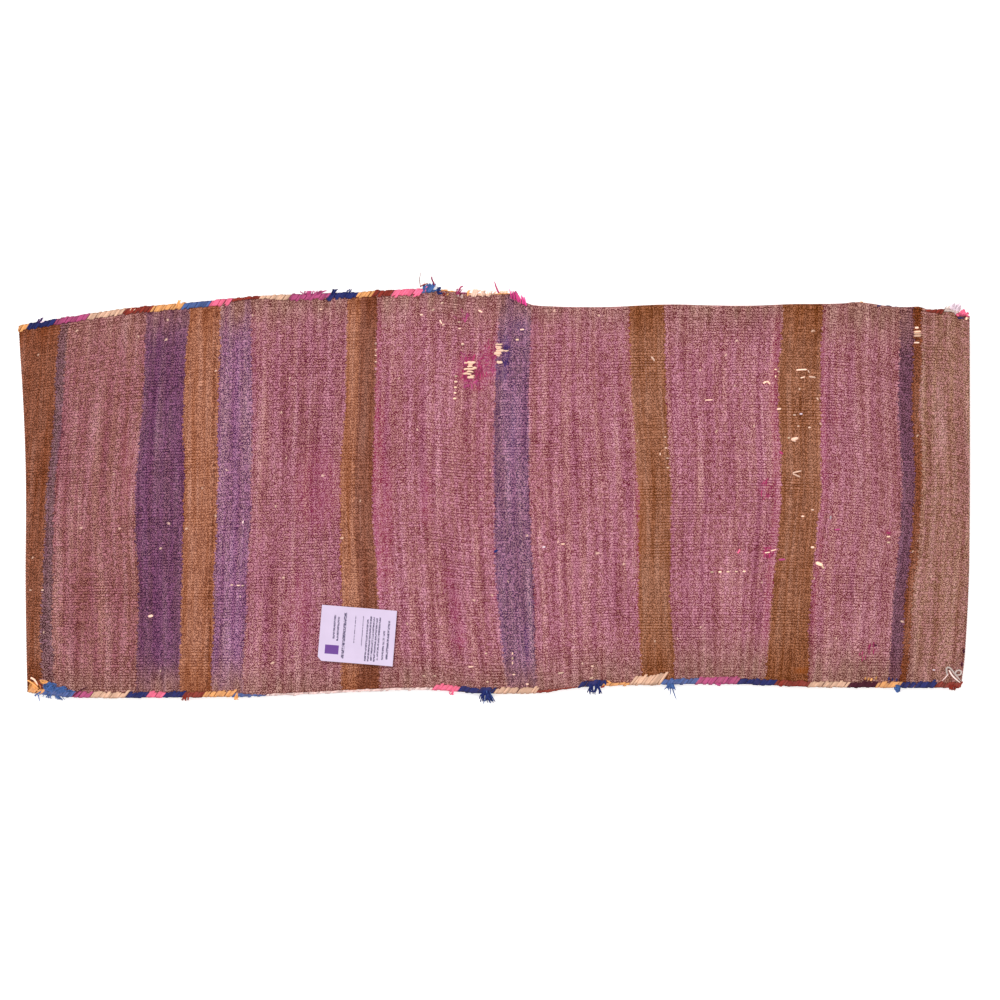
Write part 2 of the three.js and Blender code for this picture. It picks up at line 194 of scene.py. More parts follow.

# ---- Wear, tears and loose ends, in millimetres ---------------------------------------

# How much of a run's stitches is left on the upper side, at its start and its end.
WORN_RUNS = {
    ("top", 9): (0.5, 0.4), ("top", 10): (0.4, 1.1), ("top", 15): (1.1, 1.2),
    ("top", 16): (0.8, 0.1), ("top", 17): (0.05, 0.05), ("top", 18): (0.1, 0.1), ("top", 19): (0.5, 0.15),
    ("top", 20): (0.1, 0.1), ("top", 21): (0.2, 0.1), ("top", 28): (0.25, 0.9), ("top", 29): (0.4, 0.3),
    ("top", 30): (0.2, 0.1), ("bottom", 10): (0.6, 0.15), ("bottom", 11): (0.3, 0.35),
    ("bottom", 15): (0.4, 0.1), ("bottom", 17): (0.5, 0.4), ("bottom", 18): (1.4, 2.2),
    ("bottom", 20): (1.3, 1.3),
}
# Where a run's stitches have gone altogether, and the cloth reaches the very edge.
LOST_STITCHES = {("top", 27): (437, 502)}
# How readily each colour of yarn shows dust; the dark ones hide it.
DUST_SHARES = {
    "navy": 0.12, "maroon": 0.08, "rust": 0.35, "pink": 0.4, "blue": 0.3, "magenta": 0.45, "rose": 0.25,
    "cream": 0.5, "gold": 0.7,
}

# Holes where the weft is gone: middle x and y, half sizes, and how deep the cloth dips.
HOLES = [(-28, 143, 8.8, 12.5, 1.4), (7.2, 167, 5.8, 8.5, 1.4), (7.6, 153, 3, 2, 0.8)]
# Bare warps that cross the holes: x from, x to, y, thickness.
BARE_WARPS = [
    (-31, -21.6, 152, 3.4), (-30.5, -25, 147.3, 2.5), (-35, -22, 144, 2.1), (-24.5, -20.4, 145.4, 2.7),
    (-36, -26.3, 138.4, 2.7), (-31.5, -24, 141.2, 2.2), (-30, -24.6, 149.8, 2.0),
    (-27.5, -22.6, 136.6, 2.0), (-30.4, -23.5, 134.6, 3.3), (-34.5, -31.5, 151.6, 2.0),
    (2.3, 10, 173, 2.1), (1.8, 9.5, 170, 2.2), (2.8, 12, 165.6, 3.2), (11.4, 17, 165, 1.8),
    (2.6, 8.4, 167.9, 2.0), (1, 9, 162.3, 3.4), (3.2, 7, 159.8, 2.2), (4, 10, 152, 3.3),
]
# Weft that has frayed loose round the holes: colour, middle x and y, half sizes, strands, thickness.
FRAYS = [
    ("bright_magenta", -27, 144, 12, 15, 24, 1.2), ("bright_magenta", -15, 147, 8, 14, 14, 1),
    ("magenta", -28, 128, 10, 5, 9, 1.4), ("purple", 13, 160, 5, 13, 16, 1.2),
    ("bright_magenta", -3, 166, 5, 12, 10, 1.1), ("magenta", -3, 150, 6, 12, 9, 1),
    ("magenta", -35, 157, 4, 6, 5, 1.2), ("bright_magenta", 321, -69.5, 8, 6, 12, 1.2),
    ("bright_magenta", 317, 4, 7, 11, 9, 1.2), ("bright_magenta", 441, -182, 6, 6, 7, 1.2),
    ("bright_magenta", 430, -191, 4, 4, 4, 1.1), ("magenta", -38, 207, 8, 7, 9, 1.1),
    ("rose", -39, 231, 4, 3, 4, 0.8),
]
# Patches where the dye is still fresh: middle x and y, half sizes, strength.
FRESH_PATCHES = [
    (-30, 143, 17, 23, 0.9), (-20, 130, 16, 14, 0.7), (-6, 152, 14, 26, 0.95), (13, 166, 9, 20, 0.9),
    (9, 140, 10, 12, 0.6), (28, 194, 12, 8, 0.5), (-38, -173, 9, 5, 0.8), (362, -208, 14, 5, 0.7),
    (441, -184, 8, 6, 0.7), (0, -122, 5, 4, 0.7), (45, -129, 6, 4, 0.6), (2, -68, 4, 4, 1),
    (321, -70, 9, 8, 0.8), (-38, 206, 12, 8, 0.6), (-133, 56, 5, 66, 0.5), (-81, -8, 5, 36, 0.5),
    (-50, -100, 5, 24, 0.5), (-44, -134, 5, 26, 0.5), (-38, -168, 5, 24, 0.5), (317, 5, 7, 13, 0.6),
    (335, 46, 3, 4, 1), (22, 90, 4, 60, 0.4), (37, -190, 3, 40, 0.6), (171, -20, 4, 60, 0.35),
    (335, -10, 3.5, 60, 0.4), (384, 60, 4, 60, 0.3), (461, -47, 4, 4, 0.9), (75, -208, 10, 4, 0.6),
    (402, 88, 6, 16, 0.3), (-226, -130, 16, 50, 0.35), (-126, -45, 11, 90, 0.5), (-205, 5, 34, 60, 0.35),
    (-428, 30, 10, 50, 0.3),
]
# Places where the cloth has worn paler: middle x and y, half sizes, strength.
PALE_PATCHES = [
    (-250, 60, 12, 120, 0.25), (478, 187, 10, 14, 0.5), (60, 40, 14, 130, 0.2), (268, -40, 16, 110, 0.2),
]
# Knots and darns on the cloth, by colour: x, y, length, heading in degrees, thickness.
KNOTS = {
    "blush": [
        (-400.6, -144.2, 4.5, 10, 3.2), (-306, -108, 2.6, 0, 1.6), (-298.5, -108.6, 3.4, 0, 1.6),
        (-293.5, -108.8, 2.2, 0, 1.5), (-541, -114, 2.4, 0, 1.5), (-527, -114, 2.6, 0, 1.5),
        (-324.7, 142, 2.4, 20, 1.5), (-202, 214, 2.6, 0, 1.5), (-238.3, 133.7, 2.4, 70, 1.5),
        (185.7, 156, 6, -52, 2.2), (251, 108, 9.5, 3, 1.4), (316.5, 128.6, 4, 28, 2.4),
        (320.8, 128.2, 5, -48, 2), (332.9, 97.5, 4, 8, 2.6), (359.4, 143.4, 13, 3, 1.9),
        (367.4, 141.4, 3.6, -62, 1.3), (360.6, 134.4, 5.4, 14, 1.5), (371.9, 134.8, 7.4, -6, 1.8),
        (332.3, 141.3, 2, 0, 1.5), (351, 90.5, 2.2, 0, 2), (368.5, 75.9, 2.4, 0, 2),
        (355.5, 77.5, 2, 0, 1.5), (351.5, 62.8, 7, 14, 3.6), (350.4, 60.6, 4, -20, 2.4),
        (377.8, 109.2, 3.4, -55, 1.4), (354.2, 24.2, 10.5, 13, 1.7), (353.4, 19.9, 10, -24, 1.9),
        (194, 45, 2.6, 90, 1.6), (200, 64.8, 2.2, 0, 1.7), (201, 52, 2.2, 0, 1.7),
        (202.6, 40, 2.2, 0, 1.7), (203, 29, 2.2, 0, 1.7), (318.8, -70.2, 7.4, 8, 1.4),
        (326.6, -67.4, 6.2, 14, 1.5), (372, -20.2, 2.4, 0, 2), (360.6, -27.8, 2.4, 0, 2),
        (372.1, -64, 3, 0, 2.4), (80.6, -60.2, 4, 0, 1.8), (78.3, -210.8, 6.4, 9, 2),
        (-26.9, -203.6, 5.4, 4, 1.8), (39.1, -224, 2.4, 0, 2), (115, -202.8, 2.4, 0, 1.8),
        (-81.8, -214.3, 2.6, 0, 1.8), (-69, -214.3, 2.6, 0, 1.8), (-62, 199, 5, -60, 1.8),
        (-59, 196, 3.4, 30, 1.5), (-40.6, 199, 2.4, 0, 1.8), (-40, 191.5, 2.4, 0, 1.8),
        (-36.6, 173.5, 2.4, 0, 1.8), (492.9, 174.6, 6, 0, 2), (493, 192, 3.4, 0, 2.6),
        (-137.8, 173.5, 2, 0, 1.5), (-137.8, 166.5, 2, 0, 1.5), (-137.8, 160, 2, 0, 1.5),
        (-137.8, 152.5, 2, 0, 1.5), (-36.6, 172.8, 2.6, 0, 2.2), (21.6, -188, 2.4, 90, 1.8),
        (21.6, -193.6, 2.4, 90, 2), (21.6, -199.1, 2.4, 90, 1.8), (23.4, -212.6, 2.2, 0, 1.8),
        (-60.7, 221.6, 2.8, 30, 2), (-71, 213.4, 3, 30, 2), (-15.7, 211.4, 4.4, -30, 2.2),
        (-84.6, 207.5, 3, 0, 2), (33, 189.9, 4.4, 4, 1.6),
    ],
    "rose": [(-293, -34.5, 3, 80, 1.6)],
    "straw": [
        (328.8, 143.7, 2, 0, 1.6), (328.8, 135.6, 2, 90, 1.6), (344.4, 63.8, 2.4, 0, 2),
        (380.2, -83.6, 6.6, -22, 4.2), (384, -87, 5, -52, 2), (460.8, -51.6, 3.6, 0, 2),
        (460.8, -58.4, 2.8, 0, 2), (114, -216.8, 4, 20, 1.6), (-9.3, -188, 2.4, 20, 1.6),
        (-7.6, -221.3, 2.2, 0, 1.7), (27.4, 178.1, 2.4, 0, 2.2),
    ],
    "lilac": [
        (358.6, 91.7, 2.2, 0, 2.2), (393, -29.2, 3.4, 80, 2), (58.4, -63.7, 2.6, 0, 2),
        (513.9, -207.3, 2.4, 0, 1.6), (-527.5, 199.6, 5.4, 22, 1.5),
    ],
    "magenta": [(336.4, -78.3, 7, 4, 2.4), (401.2, -43.2, 6, 4, 1.8)],
    "bright_magenta": [(460.8, -47.3, 4.4, 0, 2.4), (335.5, 46.1, 4, -40, 2.6)],
    "pink": [(286, -68.5, 5, 60, 1.8)],
    "navy": [
        (2.3, -68.3, 4, 30, 2.6), (449, 217.6, 4, 10, 1.4), (-63, 232.6, 5, 6, 2.4),
        (461.5, -217.6, 3.6, 80, 1.6), (465.5, -218.6, 3.4, 70, 1.6), (470.4, -219, 3.4, 80, 1.6),
        (123, -221.3, 4, 70, 3), (130, -222.5, 3.4, 100, 2.4),
    ],
    "maroon": [
        (546.4, -200.3, 4, 90, 2.6), (548.6, -185.1, 4, 90, 2.6), (445.4, -178.4, 3, 0, 2.4),
    ],
    "cream": [
        (494, 182.6, 8, 2, 2.6), (494, 185, 8, -3, 2.6), (494, 187.4, 7.5, 4, 2.6),
        (-424.2, 214.4, 4.4, 62, 1.2), (-420, 213.6, 3, 40, 1),
    ],
    "rust": [(-58, 231.8, 2.6, 60, 1.6), (433.6, -218.6, 2, 0, 1.6), (127.3, -227, 4, 20, 2)],
    "gold": [
        (-54, 231.6, 2.2, 60, 1.3), (434, -217.4, 3, 70, 2), (437.8, -217.8, 3, 70, 2.2),
        (441, -218.6, 3.4, 60, 2.2), (446.6, -216.8, 3.4, 70, 2), (134.6, -221.4, 5, -30, 1.6),
    ],
}
# Rows of dots where a pale warp shows on every second rib or weft: x, y, step x, step y, dots.
DOT_ROWS = [(-44.2, 135.8, -0.4, -6.5, 5), (254.6, -92.9, 9.4, 0.2, 5)]
DOT_LENGTH = 2.6
# Tufts along the edges: name, colour, side, x from, x to, how far out, strands, thickness.
TUFTS = [
    ("blue_tuft", "blue", 1, -84, -70, 5, 40, 1.5), ("navy_nub", "navy", 1, -66, -61, 0.6, 6, 1.3),
    ("cream_tuft_loops", "blush", 1, -26, -17, 3, 14, 1.8),
    ("cream_tuft", "blush", 1, -16, 4, 1.4, 14, 1.4), ("gold_tuft", "straw", 1, 6, 18, 1.6, 10, 1.4),
    ("gold_knot_tuft", "gold", 1, -30, -27, 0.5, 4, 1.4),
    ("magenta_tuft", "bright_magenta", 1, -45, -37, 1.6, 7, 1),
    ("lilac_tuft", "lilac", 1, 532, 545, 9, 26, 1.5), ("lilac_tuft_low", "white", 1, 526, 533, 2, 9, 1.4),
    ("gold_nub", "gold", 1, -370, -366, 2.4, 4, 1.4), ("purple_fray", "purple", 1, -533, -527, 2.6, 8, 1),
    ("navy_tuft", "navy", -1, -19, -3, 11, 34, 1.3), ("navy_tuft_tips", "blue", -1, -14, -4, 12, 7, 1),
    ("navy_tuft_low", "navy", -1, 106, 124, 8, 28, 1.3),
    ("blue_tuft_low", "blue", -1, 199, 210, 6, 14, 1.2),
    ("gold_fray", "gold", -1, -306, -300, 1.4, 6, 1.4),
    ("rust_fray", "rust", -1, -366, -355, 1.6, 8, 1.3), ("pink_fray", "pink", -1, -55, -47, 2.6, 7, 1.4),
    ("blue_wisps", "blue", -1, -538, -500, 1.6, 26, 0.9), ("navy_fray", "navy", 1, -190, -184, 4, 8, 1.1),
    ("navy_fray_small", "navy", 1, -172, -166, 2.4, 5, 1),
    ("magenta_fray", "magenta", 1, -230, -194, 0.8, 22, 1.4),
    ("pink_tip", "pink", 1, -80, -75, 3.5, 6, 1.4),
]
# Knots wound of yarn: name, colour, x, y, half sizes across and up, turns, thickness.
WOUND_KNOTS = [
    ("pink_knot", "pink", 547.8, 209.4, 3.6, 3.4, 2.4, 16, 1.9),
    ("pink_knot_left", "pink", 542.4, 207.6, 2.2, 1.5, 1.2, 6, 1.4),
    ("pink_knot_right", "pink", 552.4, 207, 1.5, 2.6, 1.6, 7, 1.6),
    ("straw_knot_end", "straw", 552, 203.2, 1.3, 1.5, 1, 6, 1.3),
    ("corner_knot", "gold", -537, -227.5, 5.5, 5.5, 1.4, 17, 1.7),
    ("corner_knot_rise", "gold", -526, -221.5, 5, 2, 0.8, 10, 1.4),
    ("blue_messy_loops", "blue", -519, -228, 7.5, 5.5, 1.4, 34, 1.3),
    ("blue_messy_middle", "blue", -506, -230.5, 8, 4, 1.2, 26, 1.3),
    ("blue_messy_tail", "blue", -495, -233, 5, 2.6, 1, 14, 1.2),
    ("end_knot", "rust", 535, -227.8, 5.5, 2.8, 1.2, 14, 1.6),
    ("blue_knob", "blue", 470.8, -229, 3.3, 4.2, 1.4, 14, 1.8),
    ("magenta_knob", "magenta", 262, -224, 3, 1.8, 1, 9, 1.4),
    ("rust_knob", "rust", 335, -225.4, 2.6, 1.8, 1, 8, 1.4),
    ("gold_knob", "gold", -301, -239, 2.6, 1.6, 0.8, 7, 1.4),
]
# Single loose ends: colour, thickness, then the points that each one passes through.
LOOSE_ENDS = [
    ("rust", 0.9, [(-86, 240, 7), (-86.8, 246, 9), (-87.3, 250, 9.5), (-86, 254, 8.5), (-86, 258, 8)]),
    ("rose", 0.8, [(-83, 241, 7), (-81.5, 245, 9), (-79.5, 248, 9.5), (-78.8, 250.5, 9)]),
    ("bright_magenta", 1.9, [
        (-69, 241, 7), (-71, 246, 9.5), (-73, 249, 10), (-72.8, 251, 10), (-72.4, 252.5, 9),
    ]),
    ("rust", 1.5, [(-86, 240.6, 9.6), (-83, 242.4, 10.4), (-80, 243.4, 10), (-77, 244.4, 9)]),
    ("bright_magenta", 1.9, [
        (-43, 231, 8), (-41, 236, 10.5), (-39.7, 239, 10.5), (-37.8, 240.8, 10), (-35.6, 241.2, 9.5),
    ]),
    ("bright_magenta", 2, [(8, 228, 9.5), (6.5, 231, 11.5), (4, 236, 11), (2, 241, 10), (0.6, 246.5, 9)]),
    ("navy", 1.9, [(542, 203.6, 9.4), (544, 203.8, 10.6), (547, 204.4, 10.2), (549, 203.4, 9.2)]),
    ("blue", 1.3, [
        (205, -220, 7), (207.5, -226, 7.5), (210, -233, 6), (211.5, -238, 4), (213.5, -242.5, 2),
    ]),
    ("blue", 1.2, [(203, -221, 7), (206, -228, 7.5), (207.5, -234, 5), (205.4, -238, 3)]),
    ("white", 2, [
        (529.1, -213, 10.6), (528, -207.3, 12.4), (527.4, -205, 12.8), (530.3, -203.4, 12.8),
        (533.8, -206.1, 12.6), (536.1, -209.7, 12.2), (540.8, -215.5, 11.6), (545.4, -220.2, 10.6),
    ]),
    ("white", 1.9, [
        (538.6, -212, 11.4), (538.2, -208.5, 12.6), (543.1, -206.4, 12.8), (546.6, -209.7, 12.4),
        (543.6, -214.2, 12), (539, -212.6, 11.6),
    ]),
    ("white", 1.9, [
        (531.4, -207.5, 12), (533, -211, 12.4), (535, -214.3, 12), (539.6, -218.4, 11.4),
        (544.3, -222, 10.2),
    ]),
    ("rose", 1.2, [(530.3, -212, 11), (528, -215, 11.4), (526.4, -217, 11), (523.3, -219.8, 10)]),
    ("blue", 1.2, [(-532.5, -236, 8.8), (-532, -239, 8.4), (-531.8, -242, 6.5), (-531, -245, 5)]),
    ("blush", 2.4, [(-541, -216.6, 9.4), (-537, -217.5, 10.4), (-534.5, -221, 10.6), (-533, -225, 9.6)]),
    ("gold", 1.8, [(-545, -219.5, 8.4), (-540, -221.5, 10.2), (-535, -226, 11), (-532, -229, 10.2)]),
    ("rust", 1.4, [(-532, -222.6, 9), (-529, -224.4, 10.6), (-528, -227.4, 10.4), (-530, -230, 9.4)]),
    ("navy", 1.3, [(457, 217.4, 9.6), (460, 218.6, 9.4), (463, 218, 9), (466, 216.4, 8.6)]),
    ("navy", 1.1, [(468, 216.4, 9), (470, 217.4, 8.8), (472, 216.2, 8.4)]),
    ("maroon", 1.2, [(-484, -232, 8.8), (-481, -229.6, 10), (-477, -227.8, 9.8), (-475, -227, 9)]),
    ("maroon", 1.1, [(-492, -238, 8.8), (-489, -235.4, 10), (-486, -232.6, 9.8), (-484, -231, 9)]),
]
# The bright stitches left on the slanted corner: where they come out and how far they stand, from
# the left to the right, and how many there are.
CORNER_COMB = {"x": (19.5, 37), "base": (228, 219.5), "reach": (8.5, 8), "stitches": 9}

# The blank card that lies on the back.
CARD = {"x": -159.5, "y": -167, "width": 88, "height": 65, "clip": 9, "turn": math.radians(-4.6)}
# Its plain grey rules: x, y from, y to and width, from the card's middle.
CARD_RULES = [
    (-27.5, -6, 22, 2.2), (-23, -8, 20, 2.2), (-15.5, -28, 26, 3.2), (-3.5, -9, 23, 0.9), (5.5, -12, 23, 0.9),
    (11, -29, 20, 2), (14.5, -29, 24, 2), (18, -28, 23, 2), (21.5, -29, 22, 2), (25, -27, 23, 2),
    (31, -26, 8, 2.1), (36, -25, 20, 2.4),
]
CARD_BLOCK = (-28.5, -18.5, 16, 10.5)  # the violet block's middle, width and height
CARD_CLEARANCE = 0.3  # lets the card clear the ribs
CARD_Z = BACK_FLAT + HALF_CLOTH + FIT_GAP + CARD_CLEARANCE
CARD_REST = (62, 50)  # half the size of the level place that the card lies on
# How the clipped corner, the right side and the lower side curl up: from which share of the
# way towards them, and how strongly.
CLIPPED_CURL, RIGHT_CURL, LOWER_CURL = (0.45, 3.3), (0.7, 12), (0.75, 14)

TAU = 2 * math.pi


# ---- Curves and colours ---------------------------------------------------------------


def linear(hex_colour):
    """The linear values of an sRGB hex colour."""
    channels = [int(hex_colour[i : i + 2], 16) / 255 for i in (1, 3, 5)]
    return tuple(c / 12.92 if c <= 0.04045 else ((c + 0.055) / 1.055) ** 2.4 for c in channels)


def ramp(value, start, end):
    """0 before start, 1 after end, and a smooth rise between them."""
    share = np.clip((value - start) / (end - start), 0, 1)
    return share * share * (3 - 2 * share)


def between(start, end, share):
    return start + (end - start) * share


def curve_through(points):
    """A smooth function through (position, value) points."""
    places, values = np.array(points, float).T
    last = len(places) - 1
    before = np.maximum(np.arange(last + 1) - 1, 0)
    after = np.minimum(np.arange(last + 1) + 1, last)
    slopes = (values[after] - values[before]) / (places[after] - places[before])

    def value_at(position):
        place = np.clip(position, places[0], places[-1])
        i = np.searchsorted(places[1:-1], place)
        span = places[i + 1] - places[i]
        s = (place - places[i]) / span
        ends = values[i] * (1 + 2 * s) * (1 - s) ** 2 + values[i + 1] * s * s * (3 - 2 * s)
        return ends + slopes[i] * span * s * (1 - s) ** 2 - slopes[i + 1] * span * s * s * (1 - s)

    return value_at


def ripples(x, y, wavelength, seed, waves=9):
    """Gentle random unevenness, mostly between -1 and 1, with a typical wavelength."""
    rng = np.random.default_rng(seed)
    total = 0
    for _ in range(waves):
        heading, phase, length = rng.uniform(0, TAU, 2).tolist() + [wavelength * rng.uniform(0.7, 1.8)]
        along = x * math.cos(heading) + y * math.sin(heading)
        total = total + np.sin(along * TAU / length + phase)
    return total / waves * 1.6


top_edge = curve_through(TOP_EDGE)
bottom_edge = curve_through(BOTTOM_EDGE)
left_end = curve_through(LEFT_END)
right_end = curve_through(RIGHT_END)
fold_line = curve_through(FOLD_LINE)


# ---- The shape of the laid cloth ------------------------------------------------------


def turned(x):
    """How far the right pocket's upper seam is lifted by being turned under, from 0 to 1."""
    return ramp(x, *TURNED_RISE) * (1 - ramp(x, *TURNED_FALL))


def layer_heights(x, y):
    """Heights of the middles of the front and back layers at a place on the bag."""
    from_top = top_edge(x) - y
    from_bottom = y - bottom_edge(x)
    closed = BINDING_REACH - 1
    above_start = between(closed, TURNED_INSET, turned(x))
    above_end = between(SEAM_FADE, TURNED_FADE, turned(x))
    opened = ramp(from_top, above_start, above_end) * ramp(from_bottom, closed, LOWER_SEAM_FADE)
    lift = TURNED_LIFT * turned(x) * (1 - ramp(from_top, TURNED_INSET, TURNED_FADE))
    sag = BRIDGE_SAG * opened * np.exp(-(((x - BRIDGE_MIDDLE) / BRIDGE_REACH) ** 2))
    front = between(FRONT_SEAM, FRONT_FLAT, opened) + lift
    back = between(BACK_SEAM, BACK_FLAT, opened) + lift - sag
    return front, back


def turn_under(x, y, z):
    """Bends points beyond the fold line round and under the bag."""
    beyond = np.where(x < 0, 0, np.maximum(y - fold_line(x), 0))
    centre = BEND_BELOW_SEAM + TURNED_LIFT * turned(x)
    radius = z - centre
    angle = math.pi * np.minimum(beyond / BEND_LENGTH, 1)
    straight = np.maximum(beyond - BEND_LENGTH, 0)
    bent_y = fold_line(x) + radius * np.sin(angle) - straight
    bent_z = centre + radius * np.cos(angle)
    return np.stack([x + 0 * z, np.where(beyond > 0, bent_y, y), np.where(beyond > 0, bent_z, z)], axis=-1)


def unevenness(x, y):
    """How far the back rises and dips, flat at the seams and under the card."""
    margin = ramp(np.minimum(top_edge(x) - y, y - bottom_edge(x)), 10, 60)
    aside = np.maximum(np.abs(x - CARD["x"]) / CARD_REST[0], np.abs(y - CARD["y"]) / CARD_REST[1])
    waves = 0.9 * ripples(x, y, 150, seed=3) + 0.35 * ripples(x, y, 42, seed=4)
    return waves * margin * ramp(aside, 1, 1.6)


def spots(x, y, patches):
    """The strongest of some soft round patches at a place, each with its own strength."""
    strength = 0
    for middle_x, middle_y, half_x, half_y, most in patches:
        reach = np.hypot((x - middle_x) / half_x, (y - middle_y) / half_y)
        strength = np.maximum(strength, most * (1 - ramp(reach, 0.55, 1.1)))
    return strength


def surface_height(x, y):
    """The height of the back's upper surface, with its dips but without its ribs."""
    x, y = np.asarray(x, float), np.asarray(y, float)
    return layer_heights(x, y)[1] + HALF_CLOTH + unevenness(x, y) - spots(x, y, HOLES)


# ---- Settings -------------------------------------------------------------------------


def length_property(label, use, millimetres):
    return FloatProperty(
        name=label, description=use, default=millimetres * MM, min=0, unit="LENGTH", precision=5
    )


def colour_property(label, use, hex_colour):
    return FloatVectorProperty(
        name=label, description=use, default=linear(hex_colour), min=0, max=1, size=3, subtype="COLOR"
    )


class SADDLEBAG_PG_cloth(bpy.types.PropertyGroup):
    """The woven strip's weave and wear."""

    rib_spacing: length_property("Rib spacing", "From one warp's rib to the next", 3.3)
    bead_length: length_property("Bead length", "How far one weft bead reaches along its rib", 3.1)
    rib_depth: length_property("Rib depth", "From the top of a rib down to the groove beside it", 0.4)
    wear: FloatProperty(
        name="Wear", description="How pale the ribs have worn", default=0.45, min=0, max=1, subtype="FACTOR"
    )
    warp_colour: colour_property("Bare warp", "Undyed wool where the weft has gone", "#f6cdb6")


class SADDLEBAG_PG_dyes(bpy.types.PropertyGroup):
    """The dyes of the stripes, deep between the ribs, worn pale on them, and fresh."""

    __annotations__ = {
        f"{dye}_{state}": colour_property(f"{dye} {state}".replace("_", " "), f"The {dye} dye", shade)
        for dye, shades in DYES.items()
        for state, shade in zip(("deep", "worn", "fresh"), shades)
    }


class SADDLEBAG_PG_yarn(bpy.types.PropertyGroup):
    """The overcast edges' stitches and colours."""

    __annotations__ = {
        "stitch_spacing": length_property("Stitch spacing", "From one overcast stitch to the next", 3.3),
        "slant": FloatProperty(
            name="Slant", description="How far a stitch leans for its reach", default=0.75, min=0, max=2
        ),
        **{
            colour: colour_property(f"{colour} yarn".capitalize(), f"The {colour} wool yarn", shade)
            for colour, shade in YARN_HEX.items()
        },
    }


class SADDLEBAG_PG_card(bpy.types.PropertyGroup):
    """The blank card on the back."""

    thickness: length_property("Thickness", "Of the card", 0.5)
    lift: length_property("Corner lift", "How far the clipped corner curls up", 2.6)
    colour: colour_property("Card", "The card's matt face", "#d9c8e4")
    rule_colour: colour_property("Rules", "The plain rules on the card", "#574c6c")
    block_colour: colour_property("Block", "The plain block on the card", "#6a3a92")


class SADDLEBAG_PG_stage(bpy.types.PropertyGroup):
    """The floor, the lights and the camera."""

    floor_colour: colour_property("Floor", "The pale floor", "#fbfafa")
    view_width: length_property("View width", "How much of the floor the camera takes in", 1168)
    lens: FloatProperty(name="Lens", description="Focal length", default=100, min=10, unit="CAMERA")
    key_power: FloatProperty(
        name="Key light", description="Power of the large soft light", default=108, min=0, unit="POWER"
    )
    fill: FloatProperty(name="Fill", description="Brightness from all round", default=0.88, min=0)


GROUPS = {
    "saddlebag_cloth": SADDLEBAG_PG_cloth,
    "saddlebag_dyes": SADDLEBAG_PG_dyes,
    "saddlebag_yarn": SADDLEBAG_PG_yarn,
    "saddlebag_card": SADDLEBAG_PG_card,
    "saddlebag_stage": SADDLEBAG_PG_stage,
}


# ---- Materials ------------------------------------------------------------------------


def add_node(tree, kind, inputs=(), **settings):
    """Adds a node with its settings, and sets or links its inputs, given by name or number."""
    made = tree.nodes.new("ShaderNode" + kind)
    for name, value in settings.items():
        setattr(made, name, value)
    for socket, value in dict(inputs).items():
        if isinstance(value, bpy.types.Node):
            value = value.outputs[0]
        if isinstance(value, bpy.types.NodeSocket):
            tree.links.new(value, made.inputs[socket])
        else:
            made.inputs[socket].default_value = value
    return made


def new_material(name, roughness, specular=0.5):
    """A material with a plain shader on it, and its node tree and shader."""
    material = bpy.data.materials.new(name)
    material.use_nodes = True
    tree = material.node_tree
    shader = tree.nodes["Principled BSDF"]
    shader.inputs["Roughness"].default_value = roughness
    shader.inputs["IOR"].default_value = 1.45
    shader.inputs["Specular IOR Level"].default_value = specular
    return material, tree, shader


def stripe_ramp(tree, place, dyes, state):
    """The stripes in one state of wear, by their number; alpha is how far the dye fades to tan."""
    node = add_node(tree, "ValToRGB", {0: place})
    steps = node.color_ramp
    steps.interpolation = "CONSTANT"
    for number, (dye, _) in enumerate(STRIPES):
        step = steps.elements[0] if number == 0 else steps.elements.new(number / len(STRIPES))
        fades = 0 if dye.startswith("walnut") else FADES_LESS.get(dye, 1)
        step.color = (*getattr(dyes, f"{dye}_{state}"), fades)
    steps.elements.remove(steps.elements[-1])
    return node


